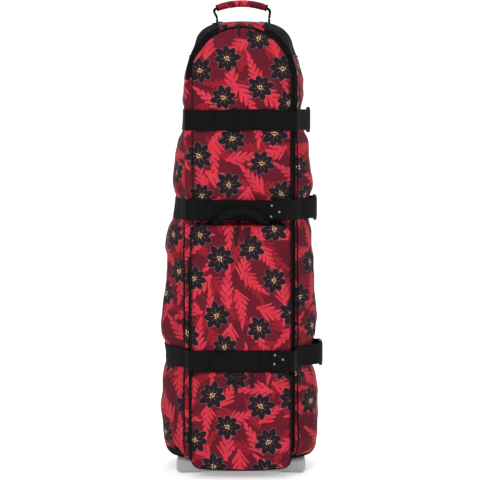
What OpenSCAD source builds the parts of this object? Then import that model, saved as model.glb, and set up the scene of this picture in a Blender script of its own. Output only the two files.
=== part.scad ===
// Upright golf travel case: a soft fabric shell on a moulded base with two wheels,
// a front door on a side hinge, two zipped pockets and three compression straps.
// Origin: centre of the footprint on the floor. +Z up, the door faces -Y.

/* [Case] */
// Height of the fabric crown above the floor
crown_h = 1279; // [1270:1:1290]
// Half the width of the case at its widest
half_w = 222; // [220:1:226]
// Depth from the door seam back to the origin
seam_depth = 96; // [94:1:98]
// Depth from the origin back to the back panel
back_depth = 150; // [149:1:152]
// Thickness of the padded fabric walls
wall = 5; // [4:0.5:6]

/* [Door] */
// Half the width of the door opening, and the radius of its arched top
rim_r = 150; // [149:1:151]
// Height of the door's lower edge above the floor
door_bottom = 30; // [28:1:34]
// Thickness of the door panel
door_t = 5; // [4:0.5:5]
// How far the padded upper panel stands out of the door panel
pad_out = 24; // [20:1:26]

/* [Pockets] */
// Half the width of both pockets
pocket_half_w = 138; // [134:1:139]
// How far the pockets stand out of the door panel
pocket_out = 48.5; // [46:0.5:50]
// Height of the upper pocket's top edge
pocket_1_top = 708; // [700:1:709]
// Height of the lower pocket's top edge
pocket_2_top = 299; // [290:1:300]

/* [Straps] */
// Width of the compression webbing
strap_w = 58; // [50:1:60]
// Thickness of the webbing
strap_t = 3; // [2.5:0.1:3]
// Heights of the three straps' centre lines
strap_z = [999, 750, 332];

/* [Wheels] */
// Radius of the wheels
wheel_r = 32; // [30:0.5:33]
// Distance of each wheel from the middle
wheel_x = 150; // [149:0.5:151]
// Depth of the axles behind the origin
wheel_y = 127; // [126:0.5:128]
// Radius of the axle bolts
axle_r = 4; // [3.5:0.1:4]

/* [Hidden] */
$fn = 48;

print_red = "#8f1f3c";
webbing_black = "#18181b";
moulded_grey = "#c9cacc";
bright_metal = "#d8d8dc";

fit_gap = 0.4;
base_top = 39.5;
fabric_bottom = 40;
full_front = -10;
full_back = back_depth - 22;
back_bevel = 22;
seam_y = -seam_depth;
door_back = seam_y - fit_gap;
door_front = door_back - door_t;
arch_z = crown_h - 13 - rim_r;
zip_edge = 8;
pad_inset = 17;
door_tape_w = 3.6;
zip_end = 75;
zip_start = 25;

// Half-outline of the shell from the base up to the crown, as [half width, height].
profile = [
    [half_w - 57, fabric_bottom], [half_w - 32, fabric_bottom + 10], [half_w - 14, 82],
    [half_w - 3, 130], [half_w, 176], [half_w - 4, 433], [half_w - 15, 656],
    [half_w - 37, 947], [half_w - 59, crown_h - 144], [half_w - 79, crown_h - 75],
    [half_w - 90, crown_h - 44], [half_w - 107, crown_h - 23], [half_w - 132, crown_h - 9],
    [half_w - 162, crown_h]
];
width_table = [for (p = profile) [p[1], p[0]]];
function case_half(z) = lookup(z, width_table);
function inset_z(z, i) = max(min(z, crown_h - i), fabric_bottom + i);
function case_outline(i) = concat(
    [for (p = profile) [p[0] - i, inset_z(p[1], i)]],
    [for (k = [len(profile) - 1:-1:0]) [i - profile[k][0], inset_z(profile[k][1], i)]]
);
function arc(cx, cz, r, from, to, steps) =
    [for (k = [0:steps]) let(a = from + (to - from) * k / steps) [cx + r * cos(a), cz + r * sin(a)]];
// Door opening: straight sides, an arched top and rounded lower corners.
function rim_outline(i, bottom) = concat(
    arc(0, arch_z, rim_r - i, 0, 180, 24),
    arc(30 - rim_r, bottom + 30, 30 - i, 180, 270, 4),
    arc(rim_r - 30, bottom + 30, 30 - i, 270, 360, 4)
);
function pocket_outline(i, bottom, top) = concat(
    arc(pocket_half_w - 24, top - 24, 24 - i, 0, 90, 6),
    arc(24 - pocket_half_w, top - 24, 24 - i, 90, 180, 6),
    arc(24 - pocket_half_w, bottom + 24, 24 - i, 180, 270, 6),
    arc(pocket_half_w - 24, bottom + 24, 24 - i, 270, 360, 6)
);

// Extrudes an outline drawn in the front view between two depths.
module slab(points, y0, y1) {
    translate([0, y1, 0]) rotate([90, 0, 0]) linear_extrude(y1 - y0) polygon(points);
}
module block(low, high) {
    translate(low) cube([for (k = [0:2]) high[k] - low[k]]);
}
module both_sides() {
    children();
    mirror([1, 0, 0]) children();
}
module rod_x(x0, x1, r) {
    translate([x0, 0, 0]) rotate([0, 90, 0]) cylinder(h = x1 - x0, r = r);
}

// ---- fabric shell ----
module case_solid(i, front) {
    hull() {
        slab(rim_outline(i, fabric_bottom + 4), front, seam_y + 1);
        slab(case_outline(i), full_front, full_back);
        slab(case_outline(i + back_bevel), back_depth - i - 1, back_depth - i);
    }
}
wheel_bay_top = 78;
wheel_bay_front = 84;
module wheel_bays() {
    both_sides() block([108, wheel_bay_front, 0], [half_w + 10, back_depth + 10, wheel_bay_top]);
}
module shell_part(low, high) {
    color(print_red)
        intersection() {
            difference() {
                case_solid(0, seam_y);
                case_solid(wall, seam_y - 1);
                wheel_bays();
            }
            block(low, high);
        }
}
far = half_w + 50;
module back_panel() { shell_part([-far, full_back, 0], [far, back_depth + 1, crown_h + 1]); }
module left_gusset() { shell_part([-far, seam_y, 60], [0, full_back, arch_z]); }
module right_gusset() { shell_part([0, seam_y, 60], [far, full_back, arch_z]); }
module crown_gusset() { shell_part([-far, seam_y, arch_z], [far, full_back, crown_h + 1]); }
module bottom_panel() { shell_part([-far, seam_y, 0], [far, full_back, 60]); }

// ---- inside ----
stiff_low = 90;
stiff_high = arch_z + 30;
module back_stiffener() {
    low_w = half_w - 47;
    high_w = case_half(stiff_high) - 32;
    color("#3a3a3e")
        slab([[-low_w, stiff_low], [low_w, stiff_low], [high_w, stiff_high], [-high_w, stiff_high]],
            back_depth - 12, back_depth - 8);
}
module crown_pad() {
    color("#4a4a50")
        intersection() {
            case_solid(wall + 1, seam_y);
            block([-far, seam_y + 16, crown_h - 60], [far, full_back - 8, crown_h]);
        }
}
module tie_down_strap() {
    color(webbing_black)
        for (z = [420, 900])
            block([-130, full_back - 2, z], [130, full_back, z + 38]);
}

// ---- main zipper ----
// The tub's half runs over the arch and down the right side; the left edge is the sewn hinge.
module zip_side() {
    difference() {
        children();
        block([-far, seam_y - 20, 0], [90 - rim_r, seam_y + 1, arch_z + zip_start]);
        block([-far, seam_y - 20, 0], [far, seam_y + 1, zip_end]);
    }
}
module rim_zipper_tape() {
    color(webbing_black)
        zip_side() difference() {
            slab(rim_outline(0, fabric_bottom + 4), seam_y - 3, seam_y - 0.1);
            slab(rim_outline(zip_edge - fit_gap, fabric_bottom + 4), seam_y - 4, seam_y + 1);
        }
}
module door_zipper_tape() {
    color(webbing_black)
        zip_side() difference() {
            slab(rim_outline(zip_edge, door_bottom), door_front - 2, door_front - 0.1);
            slab(rim_outline(zip_edge + door_tape_w, door_bottom), door_front - 3, door_front + 1);
        }
}

// ---- moulded base and wheels ----
tray_half_w = 183;
tray_front = seam_y + 4;
module base_tray() {
    color(moulded_grey)
        difference() {
            block([-tray_half_w, tray_front, 4], [tray_half_w, back_depth - 4, base_top]);
            block([5 - tray_half_w, tray_front + 5, 0], [tray_half_w - 5, back_depth - 9, base_top - 6]);
            wheel_bays();
        }
}
module front_feet() {
    color(moulded_grey)
        both_sides()
            block([112, tray_front + 5.4, 0], [tray_half_w - 5.4, tray_front + 62, base_top - 6.4]);
}
bay_wall = 14;
bay_low = 14;
module wheel_housing() {
    color(moulded_grey)
        difference() {
            block([wheel_x - 33, wheel_bay_front + 1, bay_low], [wheel_x + 33, back_depth, wheel_bay_top - 1]);
            block([wheel_x - 33 + bay_wall, wheel_bay_front + 6, 0],
                [wheel_x + 33 - bay_wall, back_depth + 20, wheel_bay_top - 7]);
            translate([wheel_x, wheel_y, wheel_r]) rod_x(-50, 50, axle_r + 0.1);
        }
}
module wheel_housing_right() { wheel_housing(); }
module wheel_housing_left() { mirror([1, 0, 0]) wheel_housing(); }
module axle_bolts() {
    color(bright_metal)
        both_sides() translate([wheel_x, wheel_y, wheel_r]) {
            rod_x(-41, 33.2, axle_r);
            rod_x(33.2, 37, 8);
        }
}
module axle_nuts() {
    color(bright_metal)
        both_sides() translate([wheel_x, wheel_y, wheel_r])
            difference() {
                translate([-40, 0, 0]) rotate([0, 90, 0]) cylinder(h = 6.5, r = 7.5, $fn = 6);
                rod_x(-41, -30, axle_r);
            }
}
hub_r = 22;
bearing_r = 11;
// A turned ring about X, from its half profile [x, radius].
module ring_x(points) { rotate([0, 90, 0]) rotate_extrude() polygon([for (p = points) [p[1], p[0]]]); }
module tyre() {
    color("#2b2b2e")
        translate([wheel_x, wheel_y, wheel_r])
            ring_x([[-12, hub_r], [-12, wheel_r - 6], [-6, wheel_r - 1], [0, wheel_r],
                [6, wheel_r - 1], [12, wheel_r - 6], [12, hub_r]]);
}
module hub() {
    color(moulded_grey)
        translate([wheel_x, wheel_y, wheel_r])
            ring_x([[-11, bearing_r], [-11, hub_r], [11, hub_r], [11, bearing_r]]);
}
module bearings() {
    color(bright_metal)
        translate([wheel_x, wheel_y, wheel_r])
            for (x = [-11, 4])
                ring_x([[x, axle_r + 0.05], [x, bearing_r], [x + 7, bearing_r], [x + 7, axle_r + 0.05]]);
}
module tyre_right() { tyre(); }
module hub_right() { hub(); }
module bearings_right() { bearings(); }
module tyre_left() { mirror([1, 0, 0]) tyre(); }
module hub_left() { mirror([1, 0, 0]) hub(); }
module bearings_left() { mirror([1, 0, 0]) bearings(); }

rail_z = [86, 292];
module skid_rails() {
    color("#222226")
        both_sides()
            slab([[59, rail_z[0]], [81, rail_z[0]], [81, rail_z[1]], [59, rail_z[1]]],
                back_depth + 0.1, back_depth + 9);
}
module rail_rivets() {
    color(bright_metal)
        both_sides() for (z = [rail_z[0] + 14, rail_z[1] - 14])
            translate([70, back_depth + 9.1, z]) rotate([-90, 0, 0]) cylinder(h = 1.6, r = 4.5);
}

// ---- compression straps ----
// Half width of the shell at height z, a share t of the way from the door's rim to the full section.
// The skin is convex, so each profile point below z draws the slanted side outwards.
function skin_half(z, t) = let(reach = max(arch_z - (arch_z - z) / t, fabric_bottom)) max(concat(
    [t * case_half(reach) + (1 - t) * rim_r],
    [for (p = profile) if (p[1] <= z && z - t * p[1] <= (1 - t) * arch_z) t * p[0] + (1 - t) * rim_r]
));
skin_shares = [0.16, 0.4, 0.7, 1];
function skin_point(z, t, s) = [skin_half(z, t) + 0.94 * s, seam_y + t * (full_front - seam_y) - 0.35 * s];
function mirrored(p) = [-p[0], p[1]];
function strap_low(n) = strap_z[n] - strap_w / 2;
function strap_half(n) = case_half(strap_low(n));
module webbing(n, points) {
    color(webbing_black) translate([0, 0, strap_low(n)]) linear_extrude(strap_w) polygon(points);
}
male_bar_y = 56;
rear_standoff = 1.4;
// From the right side round the bevelled back corners to the slanted left side, stood off by s.
function rear_path(n, s) = let(w = strap_half(n)) concat(
    [[w + s, male_bar_y], [w + s, full_back + 0.4 * s], [w - back_bevel + 0.4 * s, back_depth + s],
     [back_bevel - w - 0.4 * s, back_depth + s], [-w - s, full_back + 0.4 * s]],
    [for (k = [len(skin_shares) - 1:-1:0]) mirrored(skin_point(strap_low(n), skin_shares[k], s))]
);
module strap_rear(n) {
    inner = rear_path(n, rear_standoff);
    outer = rear_path(n, rear_standoff + strap_t);
    webbing(n, concat(outer, [for (k = [len(inner) - 1:-1:0]) inner[k]]));
}
// The front run stands off the door by strap_f and turns round its edges at strap_turn.
strap_f = [129, 134, 157.5];
strap_turn = [118, 122, 141];
function front_path(n, s) = concat(
    [[-rim_r + 4 - s, -104 - s / 3], [-strap_turn[n] - s / 2, -strap_f[n] - s],
     [strap_turn[n] + s / 2, -strap_f[n] - s], [rim_r + 3 + s, -103 - s / 2]],
    [for (t = skin_shares) skin_point(strap_low(n), t, 3 + s)]
);
module strap_front(n) {
    inner = front_path(n, 0);
    outer = front_path(n, strap_t);
    webbing(n, concat(outer, [for (k = [len(inner) - 1:-1:0]) inner[k]]));
}
// The socket half rides on the door's strap end and is open towards the case.
buckle_len = 48;
buckle_half_h = 36;
module buckle_female(n) {
    x = strap_half(n);
    z = strap_z[n];
    y0 = full_front - 1;
    color(webbing_black)
        difference() {
            block([x + 3, y0, z - buckle_half_h], [x + 13, y0 + buckle_len, z + buckle_half_h]);
            block([x - 1, y0 + 8, z - buckle_half_h + 4], [x + 10, y0 + buckle_len + 1, z + buckle_half_h - 4]);
            block([x + 2, y0 + 12, z - 13], [x + 14, y0 + 30, z + 13]);
        }
}
module buckle_male(n) {
    x = strap_half(n) + 4.5;
    z = strap_z[n];
    tip = full_front + 9;
    shoulder = full_front + buckle_len;
    color(webbing_black) {
        block([x, shoulder, z - 32], [x + 4, male_bar_y - 3, z + 32]);
        block([x, male_bar_y - 3, z - 33], [x + 4, male_bar_y + 16, z - 29.5]);
        block([x, male_bar_y - 3, z + 29.5], [x + 4, male_bar_y + 16, z + 33]);
        block([x, male_bar_y + 11, z - 30], [x + 4, male_bar_y + 16, z + 30]);
        block([x, tip + 6, z - 4], [x + 4, shoulder + 1, z + 4]);
        for (s = [-1, 1]) {
            block([x, tip, z + s * 22 - 5], [x + 4, shoulder + 1, z + s * 22 + 5]);
        }
    }
}
rivet_at = [[1, 85, 13.5], [1, 106, -4.5], [1, 83, -17], [2, 94, 17], [2, 116, 4.5], [2, 92.5, -8]];
module strap_rivets() {
    color(bright_metal)
        for (r = rivet_at)
            translate([r[1], -strap_f[r[0]] - strap_t - 0.1, strap_z[r[0]] + r[2]])
                rotate([90, 0, 0]) cylinder(h = 1.5, r = 4.2);
}

// ---- door ----
module door_panel() {
    color(print_red) slab(rim_outline(zip_edge, door_bottom), door_front, door_back);
}
pad_bottom = 714;
module upper_panel_pad() {
    color(print_red)
        intersection() {
            hull() {
                slab(rim_outline(pad_inset, door_bottom), door_front - 3, door_front - 0.2);
                slab(rim_outline(75, door_bottom), door_front - pad_out - 1, door_front - pad_out);
            }
            block([-far, -far, pad_bottom], [far, 0, crown_h]);
        }
}
pocket_front = door_front - pocket_out;
flap_t = 4.6;
flap_front = pocket_front - fit_gap - flap_t;
pocket_1_low = 301;
flap_1_low = 364;
pocket_2_low = 36;
module pocket_box(bottom, top) {
    difference() {
        slab(pocket_outline(0, bottom, top), pocket_front, door_front - 0.2);
        slab(pocket_outline(4, bottom, top), pocket_front - 1, door_front + 1);
    }
}
module pocket_1_gusset() {
    color(print_red) {
        pocket_box(pocket_1_low, pocket_1_top);
        intersection() {
            slab(pocket_outline(1, pocket_1_low, pocket_1_top), flap_front, pocket_front + 1);
            block([-far, -far, 0], [far, 0, flap_1_low - 1]);
        }
    }
}
module pocket_2_gusset() { color(print_red) pocket_box(pocket_2_low, pocket_2_top); }
module pocket_1_flap() {
    color(print_red)
        intersection() {
            slab(pocket_outline(0, pocket_1_low, pocket_1_top), flap_front, pocket_front - fit_gap);
            block([-far, -far, flap_1_low], [far, 0, crown_h]);
        }
}
module pocket_2_flap() {
    color(print_red)
        intersection() {
            slab(pocket_outline(0, pocket_2_low, pocket_2_top), flap_front, pocket_front - fit_gap);
            block([-far, -far, pocket_2_low + 4], [far, 0, crown_h]);
        }
}

// ---- handles ----
grab_axis = [-143, 716];
module grab_handle() {
    arch_outer = arc(0, grab_axis[1] - 52, 96, 35, 145, 12);
    arch_inner = arc(0, grab_axis[1] - 52, 74, 145, 35, 12);
    color(webbing_black) {
        intersection() {
            slab(concat(arch_outer, arch_inner), grab_axis[0] - 10, grab_axis[0] - 6);
            block([-90, -far, grab_axis[1] + 3], [90, 0, grab_axis[1] + 50]);
        }
        both_sides()
            block([60, grab_axis[0] - 7, grab_axis[1] - 2], [76, grab_axis[0] + 4, grab_axis[1] + 8]);
    }
}
handle_root = crown_h + 5;
grip_r = 210;
grip_top = crown_h + 56;
crown_slope = atan(9 / 30);
module handle_chapes() {
    color(webbing_black)
        both_sides()
            translate([75, 0, crown_h - 3.1]) rotate([0, crown_slope, 0]) block([-9, -16, -1], [9, 16, 1]);
}
// Webbing loop drawn in the front view; its roots narrow towards the pivot.
function grip_arc(r, from, to, steps) = arc(2, grip_top - grip_r, r, from, to, steps);
module handle_webbing() {
    mid = grip_r - 8.5;
    color(webbing_black)
        intersection() {
            slab(concat(
                [[81, handle_root], [80, crown_h + 22]],
                grip_arc(mid + 1.5, 70.5, 109.5, 12),
                [[-74, crown_h + 22], [-69, handle_root], [-66, handle_root], [-70.5, crown_h + 22]],
                grip_arc(mid - 1.5, 109.5, 70.5, 12),
                [[76.5, crown_h + 22], [77.5, handle_root]]), -19, 19);
            rotate([90, 0, 90]) translate([0, 0, -far]) linear_extrude(2 * far)
                polygon([[-6, handle_root - 1], [6, handle_root - 1], [19, handle_root + 17],
                    [19, grip_top + 1], [-19, grip_top + 1], [-19, handle_root + 17]]);
        }
}
module handle_sleeve() {
    mid = grip_r - 8.5;
    color(print_red)
        difference() {
            slab(concat(grip_arc(grip_r, 71.5, 108.5, 12), grip_arc(grip_r - 17, 108.5, 71.5, 12)), -22, 22);
            slab(concat(grip_arc(mid + 1.8, 68, 112, 12), grip_arc(mid - 1.8, 112, 68, 12)), -19.5, 19.5);
        }
}

// ---- zipper sliders and pulls, drawn about the pull's pin ----
pin_r = 1.5;
slider_back = 8.4;
module slider() {
    color("#2e2e32") {
        block([-6, 3.4, -6], [6, slider_back, 8]);
        both_sides() block([4, -1.8, -1.8], [6, 3.5, 1.8]);
        rod_x(-4.1, 4.1, pin_r);
    }
}
module pull(len, tilt) {
    color(webbing_black)
        rotate([-tilt, 0, 0])
            difference() {
                union() {
                    rod_x(-3.6, 3.6, 3.1);
                    block([-3.4, -1, 6 - len], [3.4, 1, -1]);
                    block([-5, -2, -len], [5, 2, -14]);
                }
                rod_x(-5, 5, pin_r + 0.1);
            }
}
main_angle = [-3.2, 9.6];
main_pin_y = door_front - 2 - 0.3 - slider_back;
module on_arch(a) {
    translate([0, main_pin_y, arch_z]) rotate([0, a, 0]) translate([0, 0, rim_r - zip_edge]) children();
}
main_tilt = 15;
module main_slider_left() { on_arch(main_angle[0]) slider(); }
module main_slider_right() { on_arch(main_angle[1]) slider(); }
module main_pull_left() { on_arch(main_angle[0]) pull(42, main_tilt); }
module main_pull_right() { on_arch(main_angle[1]) pull(34, main_tilt); }

flap_pin_y = flap_front - 0.3 - slider_back;
slider_x = [[-14, 20], [-14, 30]];
slider_z = [pocket_1_top - 10, pocket_2_top - 10];
module on_flap(p, side) { translate([slider_x[p][side], flap_pin_y, slider_z[p]]) children(); }
module pocket_1_slider_left() { on_flap(0, 0) slider(); }
module pocket_1_slider_right() { on_flap(0, 1) slider(); }
module pocket_2_slider_left() { on_flap(1, 0) slider(); }
module pocket_2_slider_right() { on_flap(1, 1) slider(); }
module pocket_1_pull_left() { on_flap(0, 0) pull(46, 0); }
module pocket_1_pull_right() { on_flap(0, 1) pull(46, 0); }
module pocket_2_pull_left() { on_flap(1, 0) pull(34, 0); }
module pocket_2_pull_right() { on_flap(1, 1) pull(34, 0); }

back_panel();
left_gusset();
right_gusset();
crown_gusset();
bottom_panel();
back_stiffener();
crown_pad();
tie_down_strap();
rim_zipper_tape();
base_tray();
front_feet();
wheel_housing_left();
wheel_housing_right();
axle_bolts();
axle_nuts();
skid_rails();
rail_rivets();
handle_chapes();
strap_rear(0);  // strap_rear_1
strap_rear(1);  // strap_rear_2
strap_rear(2);  // strap_rear_3
buckle_male(0);  // buckle_male_1
buckle_male(1);  // buckle_male_2
buckle_male(2);  // buckle_male_3
tyre_left();
hub_left();
bearings_left();
tyre_right();
hub_right();
bearings_right();
door_panel();
door_zipper_tape();
upper_panel_pad();
pocket_1_gusset();
pocket_2_gusset();
strap_front(0);  // strap_front_1
strap_front(1);  // strap_front_2
strap_front(2);  // strap_front_3
buckle_female(0);  // buckle_female_1
buckle_female(1);  // buckle_female_2
buckle_female(2);  // buckle_female_3
strap_rivets();
pocket_1_flap();
pocket_2_flap();
grab_handle();
handle_webbing();
handle_sleeve();
main_slider_left();
main_slider_right();
pocket_1_slider_left();
pocket_1_slider_right();
pocket_2_slider_left();
pocket_2_slider_right();
main_pull_left();
main_pull_right();
pocket_1_pull_left();
pocket_1_pull_right();
pocket_2_pull_left();
pocket_2_pull_right();
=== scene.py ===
import bpy
import math
import random
import numpy as np
from mathutils import Matrix, Vector, noise


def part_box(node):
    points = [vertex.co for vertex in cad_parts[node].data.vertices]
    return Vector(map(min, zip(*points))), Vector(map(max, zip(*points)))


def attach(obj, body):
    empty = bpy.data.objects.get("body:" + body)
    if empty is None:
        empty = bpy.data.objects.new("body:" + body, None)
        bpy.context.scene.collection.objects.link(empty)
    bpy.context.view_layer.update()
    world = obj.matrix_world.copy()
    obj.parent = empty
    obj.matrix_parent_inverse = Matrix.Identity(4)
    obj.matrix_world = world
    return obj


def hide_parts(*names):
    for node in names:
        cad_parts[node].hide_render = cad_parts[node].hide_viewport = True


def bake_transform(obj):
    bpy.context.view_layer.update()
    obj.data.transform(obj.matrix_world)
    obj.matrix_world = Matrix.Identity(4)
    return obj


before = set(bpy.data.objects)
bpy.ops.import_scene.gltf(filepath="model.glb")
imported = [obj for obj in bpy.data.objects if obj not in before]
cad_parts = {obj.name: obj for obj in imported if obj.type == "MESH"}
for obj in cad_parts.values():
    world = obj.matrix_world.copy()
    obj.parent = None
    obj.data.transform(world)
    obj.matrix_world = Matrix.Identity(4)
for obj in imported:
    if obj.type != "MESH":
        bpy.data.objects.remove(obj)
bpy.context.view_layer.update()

scene = bpy.context.scene
mm = 0.001


# camera, lights and floor
camera = {"distance": 5.0, "height": 1.084, "aim": (-0.003, 0.0, 0.656), "frameWidth": 1.370}


def addCamera(v):
    place = Vector((v["aim"][0], -v["distance"], v["height"]))
    aim = Vector(v["aim"])
    bpy.ops.object.camera_add(location=place)
    cam = bpy.context.object
    cam.rotation_euler = (aim - place).to_track_quat("-Z", "Y").to_euler()
    cam.data.sensor_width = 36
    cam.data.lens = 36 * (aim - place).length / v["frameWidth"]
    cam.data.clip_end = 100
    scene.camera = cam


lights = [
    {"name": "keySoftbox", "at": (-1.9, -3.6, 2.9), "size": 1.8, "power": 62},
    {"name": "fillSoftbox", "at": (2.8, -3.2, 1.6), "size": 2.6, "power": 24},
    {"name": "topSoftbox", "at": (0.0, 0.2, 3.6), "size": 2.4, "power": 30},
    {"name": "backSoftbox", "at": (0.8, 3.6, 2.4), "size": 2.6, "power": 44},
]


def addLights():
    for v in lights:
        bpy.ops.object.light_add(type="AREA", location=v["at"])
        lamp = bpy.context.object
        lamp.name = v["name"]
        lamp.data.size = v["size"]
        lamp.data.energy = v["power"]
        lamp.rotation_euler = (Vector((0, 0, 0.6)) - Vector(v["at"])).to_track_quat("-Z", "Y").to_euler()
    world = bpy.data.worlds.new("paleStudio")
    scene.world = world
    world.use_nodes = True
    world.node_tree.nodes["Background"].inputs["Color"].default_value = (1.0, 1.0, 1.0, 1)
    world.node_tree.nodes["Background"].inputs["Strength"].default_value = 0.62
    scene.view_settings.view_transform = "Standard"


def addFloor():
    white = plainMaterial("studioWhite", (0.95, 0.95, 0.95), 0.7)
    white.node_tree.nodes["Principled BSDF"].inputs["Emission Color"].default_value = (1, 1, 1, 1)
    white.node_tree.nodes["Principled BSDF"].inputs["Emission Strength"].default_value = 0.30
    bpy.ops.mesh.primitive_plane_add(size=26, location=(0, 0, 0))
    floor = bpy.context.object
    floor.name = "studioFloor"
    bpy.ops.mesh.primitive_plane_add(size=26, location=(0, 10, 0), rotation=(math.pi / 2, 0, 0))
    wall = bpy.context.object
    wall.name = "studioWall"
    bpy.ops.object.transform_apply(location=True, rotation=True, scale=True)
    for piece in (floor, wall):
        piece.data.materials.append(white)


# shader helpers
def maths(tree, operation, *values, clamp=False):
    node = tree.nodes.new("ShaderNodeMath")
    node.operation = operation
    node.use_clamp = clamp
    for socket, value in zip(node.inputs, values):
        if isinstance(value, bpy.types.NodeSocket):
            tree.links.new(value, socket)
        else:
            socket.default_value = value
    return node.outputs[0]


def newMaterial(name):
    material = bpy.data.materials.new(name)
    material.use_nodes = True
    return material, material.node_tree, material.node_tree.nodes["Principled BSDF"]


def plainMaterial(name, color, roughness):
    material, tree, shader = newMaterial(name)
    shader.inputs["Base Color"].default_value = (*color, 1)
    shader.inputs["Roughness"].default_value = roughness
    return material


def objectPoint(tree, scale=1.0):
    place = tree.nodes.new("ShaderNodeTexCoord")
    mapping = tree.nodes.new("ShaderNodeMapping")
    mapping.inputs["Scale"].default_value = (scale, scale, scale)
    tree.links.new(place.outputs["Object"], mapping.inputs["Vector"])
    return mapping.outputs["Vector"]


def noiseValue(tree, vector, scale, detail=3.0):
    node = tree.nodes.new("ShaderNodeTexNoise")
    node.inputs["Scale"].default_value = scale
    node.inputs["Detail"].default_value = detail
    tree.links.new(vector, node.inputs["Vector"])
    return node.outputs["Fac"]


def mixColor(tree, factor, first, second):
    node = tree.nodes.new("ShaderNodeMix")
    node.data_type = "RGBA"
    for socket, value in ((node.inputs[0], factor), (node.inputs[6], first), (node.inputs[7], second)):
        if isinstance(value, bpy.types.NodeSocket):
            tree.links.new(value, socket)
        elif isinstance(value, tuple):
            socket.default_value = (*value, 1)
        else:
            socket.default_value = value
    return node.outputs[2]


def bumpFrom(tree, shader, height, strength, distance):
    node = tree.nodes.new("ShaderNodeBump")
    node.inputs["Strength"].default_value = strength
    node.inputs["Distance"].default_value = distance
    tree.links.new(height, node.inputs["Height"])
    tree.links.new(node.outputs["Normal"], shader.inputs["Normal"])


def uvParts(tree, name):
    node = tree.nodes.new("ShaderNodeUVMap")
    node.uv_map = name
    split = tree.nodes.new("ShaderNodeSeparateXYZ")
    tree.links.new(node.outputs["UV"], split.inputs[0])
    return split.outputs[0], split.outputs[1], node.outputs["UV"]


def weaveHeight(tree, u, v, pitch):
    across = maths(tree, "SINE", maths(tree, "MULTIPLY", u, math.tau / pitch))
    along = maths(tree, "SINE", maths(tree, "MULTIPLY", v, math.tau / pitch))
    return maths(tree, "MULTIPLY", across, along)


# printed polyester: black blossoms and leaf sprigs on burgundy
printLook = {
    "ground": (0.150, 0.008, 0.021), "groundDark": (0.078, 0.005, 0.012),
    "leaf": (0.690, 0.045, 0.072), "leafDark": (0.450, 0.016, 0.036),
    "petal": (0.007, 0.005, 0.007), "petalEdge": (0.260, 0.130, 0.170), "stamen": (0.95, 0.66, 0.33),
    "filament": (0.30, 0.12, 0.08),
    "petals": 8, "leafPitch": 0.200, "leafSlant": 37.0, "leafLength": 0.40, "leafWidth": 0.0785,
}


def softStep(tree, value, softness):
    return maths(tree, "MULTIPLY_ADD", value, 1 / softness, 0.5, clamp=True)


def between(tree, value, low, high):
    above = maths(tree, "GREATER_THAN", value, low)
    return maths(tree, "MULTIPLY", above, maths(tree, "LESS_THAN", value, high))


def lengthOf(tree, a, b):
    squares = maths(tree, "ADD", maths(tree, "MULTIPLY", a, a), maths(tree, "MULTIPLY", b, b))
    return maths(tree, "SQRT", squares)


def sprigMask(tree, name, v):
    u, w, _ = uvParts(tree, name)
    side = maths(tree, "ABSOLUTE", w)
    sine = math.sin(math.radians(v["leafSlant"]))
    cotangent = 1 / math.tan(math.radians(v["leafSlant"]))
    start = maths(tree, "SUBTRACT", u, maths(tree, "MULTIPLY", side, cotangent))
    stagger = maths(tree, "MULTIPLY", maths(tree, "GREATER_THAN", w, 0.0), v["leafPitch"] * 0.45)
    shifted = maths(tree, "ADD", start, stagger)
    turn = maths(tree, "FRACT", maths(tree, "DIVIDE", shifted, v["leafPitch"]))
    middle = maths(tree, "SUBTRACT", turn, 0.5)
    lateral = maths(tree, "ABSOLUTE", maths(tree, "MULTIPLY", middle, v["leafPitch"] * sine))
    index = maths(tree, "FLOOR", maths(tree, "DIVIDE", shifted, v["leafPitch"]))
    wobble = maths(tree, "SINE", maths(tree, "MULTIPLY_ADD", index, 5.3, stagger))
    uneven = maths(tree, "MULTIPLY_ADD", wobble, 0.13, 1.0)
    reach = maths(tree, "MULTIPLY", maths(tree, "SUBTRACT", 1.10, start), v["leafLength"])
    reach = maths(tree, "MULTIPLY", reach, uneven)
    along = maths(tree, "DIVIDE", maths(tree, "DIVIDE", side, sine), reach)
    point = maths(tree, "POWER", maths(tree, "MAXIMUM", maths(tree, "SUBTRACT", 1.0, along), 0.0), 0.6)
    belly = maths(tree, "MULTIPLY", point, maths(tree, "ADD", along, 0.55))
    width = maths(tree, "MULTIPLY", belly, v["leafWidth"])
    leaflet = softStep(tree, maths(tree, "SUBTRACT", width, maths(tree, "ADD", lateral, 0.006)), 0.012)
    leaflets = maths(tree, "MULTIPLY", leaflet, between(tree, start, 0.0, 0.93))
    tip = maths(tree, "DIVIDE", maths(tree, "SUBTRACT", u, 0.80), 0.36)
    tipBelly = maths(tree, "MULTIPLY", tip, maths(tree, "SUBTRACT", 1.0, tip))
    tipWidth = maths(tree, "MULTIPLY", tipBelly, 0.20)
    tipMask = softStep(tree, maths(tree, "SUBTRACT", tipWidth, maths(tree, "ADD", side, 0.007)), 0.012)
    stemReach = between(tree, u, 0.0, 0.9)
    stemHalf = maths(tree, "MULTIPLY_ADD", u, -0.044, 0.050)
    stem = maths(tree, "MULTIPLY", stemReach, maths(tree, "LESS_THAN", side, stemHalf))
    return maths(tree, "MAXIMUM", maths(tree, "MAXIMUM", leaflets, tipMask), stem)


def shaded(color, amount):
    return tuple(c * amount for c in color)


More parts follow.
